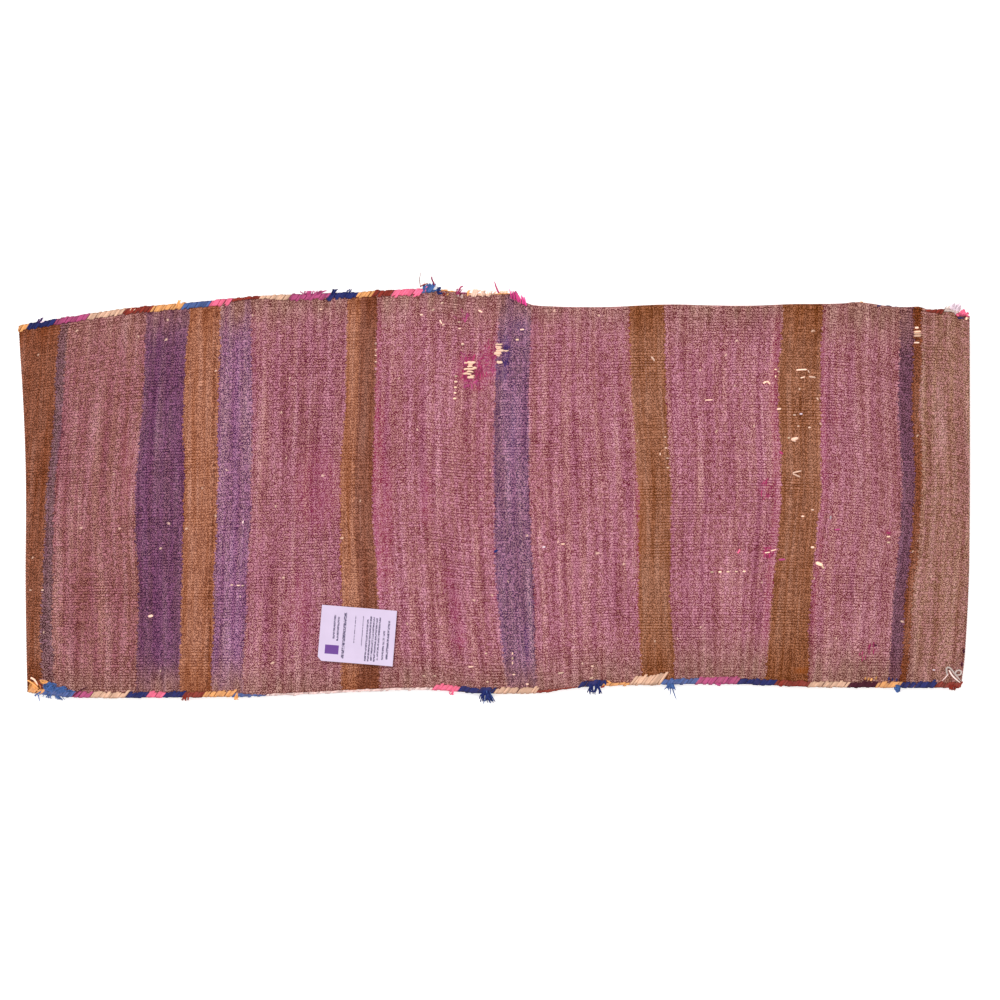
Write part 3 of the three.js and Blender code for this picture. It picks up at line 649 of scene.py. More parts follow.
def kilim_wool(context):
    """Hand-spun wool in weft-faced plain weave. Each weft shows as a bead on a warp's rib: the
    ribs have worn pale and dusty pink, the dye stays deep in the grooves, and it has no gloss.
    Painted shade darkens the grooves and the holes."""
    cloth, dyes = context.scene.saddlebag_cloth, context.scene.saddlebag_dyes
    material, tree, shader = new_material("kilim_wool_weft_faced", 0.93, specular=0.15)

    def calc(operation, *values, clamp=False):
        return add_node(tree, "Math", dict(enumerate(values)), operation=operation, use_clamp=clamp)

    def mix(share, first, second, **settings):
        return add_node(tree, "MixRGB", {0: share, 1: first, 2: second}, **settings)

    place = add_node(tree, "SeparateXYZ", {0: add_node(tree, "UVMap", uv_map="cloth_mm")})
    along, across = place.outputs[0], place.outputs[1]

    def patches(step_along, step_across, detail=2.0):
        steps = {0: calc("DIVIDE", along, step_along), 1: calc("DIVIDE", across, step_across)}
        spread = add_node(tree, "CombineXYZ", steps)
        noise = {"Vector": spread, "Scale": 1.0, "Detail": detail}
        return add_node(tree, "TexNoise", noise, noise_dimensions="2D")

    def about_zero(step_along, step_across, detail, strength):
        return calc("MULTIPLY_ADD", patches(step_along, step_across, detail), strength, -strength / 2)

    # Beads: every second rib is set half a bead along, as the weft goes over and under.
    rib = calc("DIVIDE", across, cloth.rib_spacing / MM)
    row = calc("FLOOR", rib)
    bead_mm = cloth.bead_length / MM
    odd_row = calc("FRACT", calc("MULTIPLY", row, 0.5))
    shift = calc("MULTIPLY_ADD", patches(14, 40, 1.0), 2.6, odd_row)
    shift = calc("MULTIPLY_ADD", patches(5, 3.4, 0.0), 1.1, shift)
    bead = calc("ADD", calc("DIVIDE", along, bead_mm), shift)
    column = calc("FLOOR", bead)
    own_place = add_node(tree, "CombineXYZ", {0: column, 1: row})
    chance = add_node(tree, "TexWhiteNoise", {"Vector": own_place}, noise_dimensions="2D")
    more_chance = add_node(tree, "SeparateColor", {0: chance.outputs["Color"]})
    weft = {0: calc("MULTIPLY", column, 5.7), 1: calc("DIVIDE", across, 12.0)}
    weft = add_node(tree, "CombineXYZ", {**weft, 2: calc("MULTIPLY", odd_row, 90.0)})
    weft_chance = add_node(tree, "TexNoise", {"Vector": weft, "Scale": 1.0, "Detail": 1.0})
    rib_side = calc("ABSOLUTE", calc("MULTIPLY_ADD", calc("FRACT", rib), 2.0, -1.0))
    bead_side = calc("ABSOLUTE", calc("MULTIPLY_ADD", calc("FRACT", bead), 2.0, -1.0))
    rib_top = calc("SUBTRACT", 1.0, calc("POWER", rib_side, 3.2))
    bead_top = calc("SUBTRACT", 1.0, calc("POWER", bead_side, 1.2))
    dome = calc("MULTIPLY", rib_top, bead_top)

    # Stripes end on whole beads, and wander a little from rib to rib.
    bead_place = calc("MULTIPLY", calc("SUBTRACT", calc("ADD", column, 0.5), shift), bead_mm)
    ragged = calc("MULTIPLY_ADD", more_chance.outputs[1], 1.2, -0.6)
    stripe = calc("ADD", calc("ADD", bead_place, about_zero(60, 60, 2.0, 5.0)), ragged)
    number = calc("GREATER_THAN", stripe, STRIPES[0][1][2])
    for _, ends in STRIPES[1:-1]:
        number = calc("ADD", number, calc("GREATER_THAN", stripe, ends[2]))
    number = calc("DIVIDE", calc("ADD", number, 0.5), len(STRIPES))
    deep = stripe_ramp(tree, number, dyes, "deep")
    worn = stripe_ramp(tree, number, dyes, "worn")
    undimmed = stripe_ramp(tree, number, dyes, "fresh")
    fades = deep.outputs["Alpha"]

    # A few odd wefts stand out from end to end.
    streak_pale, streak_fresh = 0.0, 0.0
    for middle, half, paler, fresher in ODD_WEFTS:
        here = calc("COMPARE", stripe, float(middle), half)
        streak_pale = calc("MULTIPLY_ADD", here, paler, streak_pale)
        streak_fresh = calc("MULTIPLY_ADD", here, fresher, streak_fresh)

    # Wear: bead by bead, in soft clouds and in streaks along the wefts.
    pale = add_node(tree, "Attribute", attribute_name="pale")
    fresh = add_node(tree, "Attribute", attribute_name="fresh")
    worn_by = calc("MULTIPLY_ADD", chance.outputs["Value"], 1.5, cloth.wear - 0.74)
    worn_by = calc("MULTIPLY_ADD", weft_chance, 0.9, worn_by)
    worn_by = calc("ADD", worn_by, about_zero(60, 45, 3.0, 0.25))
    worn_by = calc("ADD", worn_by, about_zero(7, 180, 3.0, 0.5))
    worn_by = calc("ADD", worn_by, streak_pale)
    worn_by = calc("MULTIPLY_ADD", pale.outputs["Fac"], 0.3, worn_by)
    worn_by = calc("MULTIPLY", worn_by, calc("MULTIPLY_ADD", dome, 0.85, 0.17))
    worn_by = calc("ADD", worn_by, about_zero(1.0, 1.1, 0.0, 4.4), clamp=True)
    colour = mix(worn_by, deep, worn)

    # Where the dye is still fresh it is stronger, in patches, and only the beads' crowns are pale.
    fresh_by = calc("MULTIPLY", fresh.outputs["Fac"], calc("MULTIPLY_ADD", patches(5, 12), 1.6, 0.1))
    fresh_by = calc("ADD", fresh_by, streak_fresh)
    fresh_by = calc("MULTIPLY", fresh_by, calc("MULTIPLY_ADD", worn_by, -0.75, 1.0), clamp=True)
    colour = mix(fresh_by, colour, undimmed)

    # The reds drift between tan and magenta from weft to weft.
    drift = calc("MULTIPLY_ADD", patches(9, 200, 3.0), 2.4, -1.2)
    drift = calc("MULTIPLY_ADD", more_chance.outputs[0], 1.0, drift, clamp=True)
    tint = mix(drift, (1.04, 1.04, 0.9, 1), (0.99, 0.85, 1.03, 1))
    colour = mix(fades, colour, mix(1.0, colour, tint, blend_type="MULTIPLY"))

    # Towards the long edges they have gone a dusty tan, in streaks.
    tanned = add_node(tree, "Attribute", attribute_name="tanned")
    tan_by = calc("MULTIPLY", tanned.outputs["Fac"], calc("MULTIPLY_ADD", patches(9, 70, 3.0), 1.5, 0.05))
    tan_by = calc("MULTIPLY", tan_by, fades, clamp=True)
    tan = mix(worn_by, (*linear("#5c2a28"), 1), (*linear("#c6978c"), 1))
    colour = mix(tan_by, colour, tan)

    # Abrash: the dye varies from weft to weft, so light and dark streaks run across the strip.
    abrash = calc("MULTIPLY_ADD", patches(7, 200, 3.0), 0.75, 0.62)
    abrash = calc("MULTIPLY", abrash, calc("MULTIPLY_ADD", patches(2.2, 70, 2.0), 0.4, 0.8))
    # In places the ribs stand well apart, and the grooves between them are darkened with painted shade.
    grooves = calc("MULTIPLY_ADD", patches(90, 50, 3.0), -1.9, 0.8)
    grooves = calc("MINIMUM", calc("MAXIMUM", grooves, -0.6), -0.02)
    groove = calc("MULTIPLY_ADD", calc("POWER", rib_side, 4.0), grooves, 1.0)
    # In the holes the cloth underneath is darkened with painted shade. The shade here is the abrash together
    # with the painted shade of the grooves and holes.
    hollow = add_node(tree, "Attribute", attribute_name="hollow")
    hole_shade = calc("MULTIPLY_ADD", hollow.outputs["Fac"], -0.6, 1.0)
    shade = calc("MULTIPLY", calc("MULTIPLY", abrash, groove), hole_shade)
    dulled = calc("MULTIPLY", tanned.outputs["Fac"], calc("MULTIPLY_ADD", fades, 0.14, -0.22))
    shade = calc("MULTIPLY", shade, calc("ADD", dulled, 1.0))
    colour = mix(1.0, colour, shade, blend_type="MULTIPLY")
    # In a shaded place the light comes from dyed wool all round, so the dye looks stronger.
    richness = calc("MULTIPLY_ADD", shade, -0.5, 1.5)
    colour = add_node(tree, "HueSaturation", {"Color": colour, "Saturation": richness})

    # A bead here and there is undyed wool that has come through.
    fleck = calc("GREATER_THAN", more_chance.outputs[2], 0.9988)
    fleck = calc("MULTIPLY", calc("MULTIPLY", fleck, dome), 0.8)
    colour = mix(fleck, colour, (*cloth.warp_colour, 1))
    tree.links.new(colour.outputs[0], shader.inputs["Base Color"])

    fibres = patches(0.9, 0.5, 3.0)
    beads = calc("MULTIPLY", dome, calc("MULTIPLY_ADD", chance, 0.5, 0.7))
    height = calc("ADD", beads, calc("MULTIPLY", fibres, 0.35))
    bump = add_node(tree, "Bump", {"Height": height, "Strength": 0.6, "Distance": 0.6 * MM})
    tree.links.new(bump.outputs[0], shader.inputs["Normal"])
    return material


def yarn_wool(name, colour):
    """Loosely plied wool yarn: matt and hairy, with a fine random fuzz of lighter and darker, every
    stitch a slightly different depth of the dye, and dusty where it has been handled."""
    material, tree, shader = new_material(name, 0.88, specular=0.2)
    spot = add_node(tree, "TexCoord").outputs["Object"]
    fuzz = add_node(tree, "TexNoise", {"Vector": spot, "Scale": 1 / (0.9 * MM), "Detail": 3.0})
    patch = add_node(tree, "TexNoise", {"Vector": spot, "Scale": 1 / (8 * MM), "Detail": 2.0})
    chance = add_node(tree, "Attribute", attribute_name="stitch")
    dusty = add_node(tree, "Attribute", attribute_name="dusty")
    sums = add_node(tree, "Math", {0: fuzz, 1: 0.8, 2: 0.34}, operation="MULTIPLY_ADD")
    sums = add_node(tree, "Math", {0: chance.outputs["Fac"], 1: 0.55, 2: sums}, operation="MULTIPLY_ADD")
    dyed = add_node(tree, "MixRGB", {0: 1.0, 1: (*colour, 1), 2: sums}, blend_type="MULTIPLY")
    dust = tuple(0.4 * c + 0.6 * d for c, d in zip(colour, linear("#b8877a")))
    dust_by = add_node(tree, "Math", {0: patch, 1: 2.4, 2: -0.5}, operation="MULTIPLY_ADD", use_clamp=True)
    dust_by = add_node(tree, "Math", {0: dust_by, 1: dusty.outputs["Fac"]}, operation="MULTIPLY")
    dusted = add_node(tree, "MixRGB", {0: dust_by, 1: dyed, 2: (*dust, 1)})
    tree.links.new(dusted.outputs[0], shader.inputs["Base Color"])
    bump = add_node(tree, "Bump", {"Height": fuzz, "Strength": 0.5, "Distance": 0.3 * MM})
    tree.links.new(bump.outputs[0], shader.inputs["Normal"])
    return material


def matt_card(context):
    """Thin coated card, offset-tinted a pale lilac: smooth and almost matt, with plain grey rules
    broken up as worn print is, and one plain violet block."""
    settings = context.scene.saddlebag_card
    material, tree, shader = new_material("coated_card_lilac", 0.55)
    place = add_node(tree, "SeparateXYZ", {0: add_node(tree, "UVMap", uv_map="card_mm")})

    def within(socket, middle, half):
        offset = add_node(tree, "Math", {0: place.outputs[socket], 1: middle}, operation="SUBTRACT")
        offset = add_node(tree, "Math", {0: offset}, operation="ABSOLUTE")
        return add_node(tree, "Math", {0: offset, 1: half}, operation="LESS_THAN")

    def field(middle_x, middle_y, width, height):
        sides = {0: within(0, middle_x, width / 2), 1: within(1, middle_y, height / 2)}
        return add_node(tree, "Math", sides, operation="MULTIPLY")

    ruled = 0.0
    for x, low, high, width in CARD_RULES:
        rule = field(x, (low + high) / 2, width, high - low)
        ruled = add_node(tree, "Math", {0: rule, 1: ruled}, operation="MAXIMUM")
    spot = add_node(tree, "TexCoord").outputs["Object"]
    worn = add_node(tree, "TexNoise", {"Vector": spot, "Scale": 1 / (1.5 * MM), "Detail": 1.0})
    worn = add_node(tree, "Math", {0: worn, 1: 4.5, 2: -1.45}, operation="MULTIPLY_ADD", use_clamp=True)
    ruled = add_node(tree, "Math", {0: ruled, 1: worn}, operation="MULTIPLY")
    grain = add_node(tree, "TexNoise", {"Vector": spot, "Scale": 1 / (14 * MM)})
    grain = add_node(tree, "Math", {0: grain, 1: 0.12, 2: 0.94}, operation="MULTIPLY_ADD")
    face = add_node(tree, "MixRGB", {0: 1.0, 1: (*settings.colour, 1), 2: grain}, blend_type="MULTIPLY")
    face = add_node(tree, "MixRGB", {0: ruled, 1: face, 2: (*settings.rule_colour, 1)})
    face = add_node(tree, "MixRGB", {0: field(*CARD_BLOCK), 1: face, 2: (*settings.block_colour, 1)})
    tree.links.new(face.outputs[0], shader.inputs["Base Color"])
    return material


FLOOR_GLOW = 0.42  # how brightly the floor glows by itself


def glowing_floor_paint(colour):
    """Matt white studio floor paint with a glow of its own, as a light table has: even and without
    gloss, so that hardly any shade shows on it."""
    material, tree, shader = new_material("floor_paint_matt_white", 0.9, specular=0.1)
    spot = add_node(tree, "TexCoord").outputs["Object"]
    mottle = add_node(tree, "TexNoise", {"Vector": spot, "Scale": 3.0})
    mottle = add_node(tree, "Math", {0: mottle, 1: 0.01, 2: 0.99}, operation="MULTIPLY_ADD")
    paint = add_node(tree, "MixRGB", {0: 1.0, 1: (*colour, 1), 2: mottle}, blend_type="MULTIPLY")
    tree.links.new(paint.outputs[0], shader.inputs["Base Color"])
    # The floor's glow is painted light: it washes out the shade and shadows that would fall on the floor.
    shader.inputs["Emission Color"].default_value = (1, 1, 1, 1)
    shader.inputs["Emission Strength"].default_value = FLOOR_GLOW
    return material


# ---- Making pieces --------------------------------------------------------------------


def deselect_all():
    if bpy.context.object and bpy.context.object.mode != "OBJECT":
        bpy.ops.object.mode_set(mode="OBJECT")
    bpy.ops.object.select_all(action="DESELECT")


def piece_from(name, points, faces, material, nodes=()):
    """A finished piece from points in millimetres, riding on the bag's one body."""
    mesh = bpy.data.meshes.new(name)
    mesh.from_pydata((points * MM).tolist(), [], faces)
    mesh.polygons.foreach_set("use_smooth", np.ones(len(mesh.polygons), bool))
    mesh.materials.append(material)
    piece = bpy.data.objects.new(name, mesh)
    bpy.context.collection.objects.link(piece)
    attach(piece, "root")
    if nodes:
        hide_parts(*nodes)
    return piece


def point_values(mesh, name, values):
    """Stores one number for each point of a mesh, for its material to read."""
    stored = mesh.attributes.new(name, "FLOAT", "POINT")
    stored.data.foreach_set("value", np.asarray(values, np.float32).ravel())


# ---- The overcast edges ---------------------------------------------------------------

STITCH_SIDES = 8
STITCH_BEND_STEPS = 6
STITCH_BEND = 2.6  # how far in from the edge a stitch starts to turn round it
STITCH_ROOT = 3  # a worn stitch keeps this much of its reach
STITCH_LIMITS = (-556, 556)  # no stitch stands past these places along the edge
SQUEEZED = 0.2  # how wide a stitch is still, when it is squeezed up against a limit
TOP_DUST, BOTTOM_DUST = 0.3, 0.75  # the bottom edge has been handled and rubbed more


def model_stitch(height):
    """One overcast stitch, 1 wide, modelled round an edge that runs along X: it comes up through the
    cloth, lies flat to the edge, turns round it and goes back. Y is the distance in from the edge."""
    thin = YARN_THICKNESS / 2
    arm = height / 2 - thin
    bend = STITCH_BEND
    deselect_all()
    bpy.ops.mesh.primitive_circle_add(
        vertices=STITCH_SIDES, radius=thin, fill_type="NGON", location=(0, BINDING_REACH, -arm),
        rotation=(math.pi / 2, 0, 0),
    )
    stitch = bpy.context.object
    bpy.ops.object.transform_apply(location=True, rotation=True, scale=True)
    bpy.ops.object.mode_set(mode="EDIT")
    bpy.ops.mesh.select_all(action="SELECT")
    bpy.ops.transform.resize(value=(1 / (2 * thin), 1, 1))
    steps = np.diff(np.linspace(BINDING_REACH, bend, 4))
    for step in steps:
        bpy.ops.mesh.extrude_region_move(TRANSFORM_OT_translate={"value": (0, step, 0)})
    bpy.ops.mesh.spin(steps=STITCH_BEND_STEPS, angle=math.pi, center=(0, bend, 0), axis=(-1, 0, 0))
    for step in steps:
        bpy.ops.mesh.extrude_region_move(TRANSFORM_OT_translate={"value": (0, -step, 0)})
    bpy.ops.mesh.extrude_region_move(TRANSFORM_OT_translate={"value": (0, 0.5, -1.6)})
    bpy.ops.transform.resize(value=(0.6, 0.6, 0.6))
    bpy.ops.mesh.select_all(action="SELECT")
    bpy.ops.mesh.remove_doubles(threshold=0.001)
    bpy.ops.mesh.normals_make_consistent(inside=False)
    bpy.ops.object.mode_set(mode="OBJECT")
    points = np.array([tuple(v.co) for v in stitch.data.vertices])
    faces = [tuple(p.vertices) for p in stitch.data.polygons]
    bpy.data.objects.remove(stitch)
    # The turn is drawn in towards the edge, so that it clears the cloth's corners.
    short = points[:, 1] < bend
    reach = bend + arm + thin
    points[short, 1] = bend - (bend - points[short, 1]) * bend / (reach - bend)
    return points, faces


def overcast_run(number, colour, side, start, end, stitches, settings, material, rng):
    """One run of coloured yarn, wrapped stitch by stitch round the cloth's edge."""
    edge_name = "top" if side > 0 else "bottom"
    mouths = (LEFT_MOUTH[1], RIGHT_MOUTH[1]) if side > 0 else (LEFT_MOUTH[0], RIGHT_MOUTH[0])
    single = mouths[0] < (start + end) / 2 < mouths[1]
    model, faces = stitches[single]
    lowest = (BACK_SEAM if single else FRONT_SEAM) - HALF_CLOTH - ARM
    highest = BACK_SEAM + HALF_CLOTH + ARM
    count = max(round((end - start) / (settings.stitch_spacing / MM)), 2)
    pitch = (end - start) / count
    lost = LOST_STITCHES.get((edge_name, number), (0, 0))
    worn = WORN_RUNS.get((edge_name, number), (1, 1))
    upper = (model[:, 2] > 0) & (model[:, 1] > STITCH_ROOT)
    points, links, chances = [], [], []
    for turn in range(count):
        x0 = start + (turn + 0.5) * pitch + rng.normal(0, 0.12) * pitch
        if lost[0] < x0 < lost[1]:
            continue
        lean = settings.slant * (1 + rng.normal(0, 0.08))
        reach = model[:, 1] * (1 + rng.normal(0, 0.06)) + rng.normal(0, 0.35) * (model[:, 1] < 4)
        kept = between(*worn, (turn + 0.5) / count) * (1 + rng.normal(0, 0.08))
        reach = np.where(upper, STITCH_ROOT + (reach - STITCH_ROOT) * max(kept, 0), reach)
        across = model[:, 0] * pitch * (1.1 + rng.normal(0, 0.05))
        x = x0 + across - side * lean * (reach - BINDING_REACH / 2)
        x = np.clip(x, STITCH_LIMITS[0] + across * SQUEEZED, STITCH_LIMITS[1] + across * SQUEEZED)
        edge = top_edge(x) if side > 0 else bottom_edge(x)
        y = edge - side * reach
        lift = TURNED_LIFT * turned(x) if side > 0 else 0
        z = (lowest + highest) / 2 + lift + model[:, 2] * (1 + rng.normal(0, 0.02))
        z = z + upper * (layer_heights(x, y)[1] - BACK_SEAM - lift)
        placed = turn_under(x, y, z) if side > 0 else np.stack([x, y, z], axis=-1)
        placed[:, 2] = np.maximum(placed[:, 2], FLOOR_GAP)  # flat where it presses on the floor
        links += [tuple(i + len(points) * len(model) for i in face) for face in faces]
        points.append(placed)
        chances.append(np.full(len(model), rng.uniform()))
    place = f"{number:02d}_{colour}"
    run = piece_from(
        f"overcast_{edge_name}_{place}", np.concatenate(points), links, material,
        [f"{edge_name}_binding_{place}"],
    )
    point_values(run.data, "stitch", np.concatenate(chances))
    dust = (TOP_DUST if side > 0 else BOTTOM_DUST) * DUST_SHARES.get(colour, 1)
    point_values(run.data, "dusty", np.full(len(run.data.vertices), dust))


def yarn_materials(context):
    """One wool for each colour of yarn, made once and shared."""
    settings = context.scene.saddlebag_yarn
    for colour in YARN_HEX:
        name = f"plied_wool_{colour}"
        if name not in bpy.data.materials:
            yarn_wool(name, tuple(getattr(settings, colour)))
    return {colour: bpy.data.materials[f"plied_wool_{colour}"] for colour in YARN_HEX}


class SADDLEBAG_OT_overcast_edges(bpy.types.Operator):
    """Wrap runs of coloured yarn round both long edges, stitch by stitch"""

    bl_idname = "saddlebag.overcast_edges"
    bl_label = "Overcast Edges"

    def execute(self, context):
        settings = context.scene.saddlebag_yarn
        materials = yarn_materials(context)
        single_height = 2 * HALF_CLOTH + 2 * ARM
        double_height = single_height + 2 * HALF_CLOTH + LAP_GAP
        stitches = {True: model_stitch(single_height), False: model_stitch(double_height)}
        rng = np.random.default_rng(11)
        for side, start, runs in ((1, TOP_START, TOP_RUNS), (-1, BOTTOM_START, BOTTOM_RUNS)):
            for number, (colour, end) in enumerate(runs, 1):
                wool = materials[colour]
                overcast_run(number, colour, side, start + RUN_GAP, end, stitches, settings, wool, rng)
                start = end
        return {"FINISHED"}


# ---- Loose yarn -----------------------------------------------------------------------


def by_strand(count, faces):
    """A chance number for each point of a mesh, the same all over each separate strand."""
    sides = np.array([(face[k - 1], face[k]) for face in faces for k in range(len(face))])
    strand, before = np.arange(count), None
    while before is None or (strand != before).any():
        before = strand.copy()
        lowest = np.minimum(strand[sides[:, 0]], strand[sides[:, 1]])
        np.minimum.at(strand, sides[:, 0], lowest)
        np.minimum.at(strand, sides[:, 1], lowest)
        strand = strand[strand]
    return np.random.default_rng(17).uniform(size=count)[strand]


def yarn_piece(name, strands, material):
    """Strands of yarn in one piece. Each strand is its thickness and the points it passes through."""
    deselect_all()
    curve = bpy.data.curves.new(name, "CURVE")
    curve.dimensions = "3D"
    curve.bevel_depth = 1.0
    curve.bevel_resolution = 1
    curve.use_fill_caps = True
    for thickness, points in strands:
        spline = curve.splines.new("NURBS")
        spline.points.add(len(points) - 1)
        for place, point in zip(spline.points, points):
            place.co = (*point, 1)
            place.radius = thickness / 2
        spline.points[-1].radius *= 0.45
        spline.order_u = 4
        spline.resolution_u = 4
        spline.use_endpoint_u = True
        spline.use_smooth = True
    draft = bpy.data.objects.new(name + "_draft", curve)
    bpy.context.collection.objects.link(draft)
    bpy.context.view_layer.objects.active = draft
    draft.select_set(True)
    bpy.ops.object.convert(target="MESH")
    bpy.ops.object.mode_set(mode="EDIT")
    bpy.ops.mesh.select_all(action="SELECT")
    bpy.ops.mesh.remove_doubles(threshold=0.001)
    bpy.ops.mesh.normals_make_consistent(inside=False)
    bpy.ops.object.mode_set(mode="OBJECT")
    points = np.array([tuple(v.co) for v in draft.data.vertices])
    faces = [tuple(p.vertices) for p in draft.data.polygons]
    bpy.data.objects.remove(draft)
    piece = piece_from(name, points, faces, material)
    point_values(piece.data, "stitch", 0.5 + 1.5 * (by_strand(len(points), faces) - 0.5))
    return piece


def tuft_strands(side, start, end, reach, count, thickness, rng):
    """A tuft of looped and cut ends that stand out from an edge."""
    strands = []
    top = BACK_SEAM + HALF_CLOTH + ARM
    for _ in range(count):
        x = rng.uniform(start, end)
        edge = float(top_edge(x) if side > 0 else bottom_edge(x))
        lift = float(TURNED_LIFT * turned(x)) if side > 0 and x < 0 else 0
        out = reach * rng.uniform(0.5, 1)
        heading = rng.normal(0.3, 0.45) - 0.5 * (x - (start + end) / 2) / (end - start)
        middle = (start + end) / 2
        roots = (middle + (x - middle) * 0.6 - 2 * side, edge - side * rng.uniform(2, 7), top + lift - 0.8)
        crown_y = edge - side * rng.uniform(-0.5, 2)
        crown = (x + out * 0.4 * heading, crown_y, top + lift + rng.uniform(0.4, 1.6))
        outer = (x + out * heading, edge + side * out * 0.75, top + lift - rng.uniform(0, 2.5))
        curl = rng.uniform(-1.6, 1.6)
        tip = (outer[0] + curl, edge + side * out * rng.uniform(0.3, 1), outer[2] - rng.uniform(1, 3))
        strands.append((thickness * rng.uniform(0.8, 1.2), [roots, crown, outer, tip]))
    return strands


def resting_height(x, y):
    """The height that something lies at on the bag: on the back, or on the overcasting at its edges."""
    edge_gap = min(float(top_edge(x) - y), float(y - bottom_edge(x)))
    seam_hidden = TURNED_RISE[1] < x < FOLD_LINE[-1][0] and y > 0
    on_binding = edge_gap < BINDING_REACH and not seam_hidden
    binding_top = BACK_SEAM + HALF_CLOTH + YARN_THICKNESS if on_binding else 0
    return max(float(surface_height(x, y)), binding_top)


def knot_strand(x, y, length, heading, thickness, bow=0.0):
    """A short end of yarn that comes up through the cloth, lies on it, bowed, and goes back down."""
    ahead = np.array([math.cos(math.radians(heading)), math.sin(math.radians(heading))])
    aside = np.array([-ahead[1], ahead[0]])
    points = []
    for share, rise in ((-1, -0.9), (-0.8, 0.15), (-0.3, 0.45), (0.3, 0.45), (0.8, 0.15), (1, -0.9)):
        px, py = np.array([x, y]) + ahead * share * length / 2 + aside * bow * (1 - share * share)
        points.append((px, py, resting_height(px, py) + rise * min(thickness, 2.2) / 1.6))
    return (thickness, points)


def wound_strands(x, y, half_x, half_y, half_z, turns, thickness, rng):
    """A knot of yarn wound over itself: part turns round a flattened ball, each at its own tilt."""
    strands = []
    base = resting_height(x, y) + half_z * 0.5
    for _ in range(turns):
        first, second = rng.normal(size=(2, 3))
        first /= np.linalg.norm(first)
        second -= first * (second @ first)
        second /= np.linalg.norm(second)
        start, sweep = rng.uniform(0, TAU), rng.uniform(2.2, 4)
        size = rng.uniform(0.6, 1)
        middle_x, middle_y = x + rng.normal(0, 0.2) * half_x, y + rng.normal(0, 0.2) * half_y
        points = []
        for angle in np.linspace(start, start + sweep, 7):
            out_x, out_y, out_z = (first * math.cos(angle) + second * math.sin(angle)) * size
            points.append((middle_x + out_x * half_x, middle_y + out_y * half_y, base + out_z * half_z))
        strands.append((thickness * rng.uniform(0.8, 1.15), points))
    return strands


def by_colour(entries):
    """Groups (colour, strand) pairs into lists of strands, in the order of the yarns' colours."""
    groups = {colour: [strand for name, strand in entries if name == colour] for colour in YARN_HEX}
    return {colour: strands for colour, strands in groups.items() if strands}


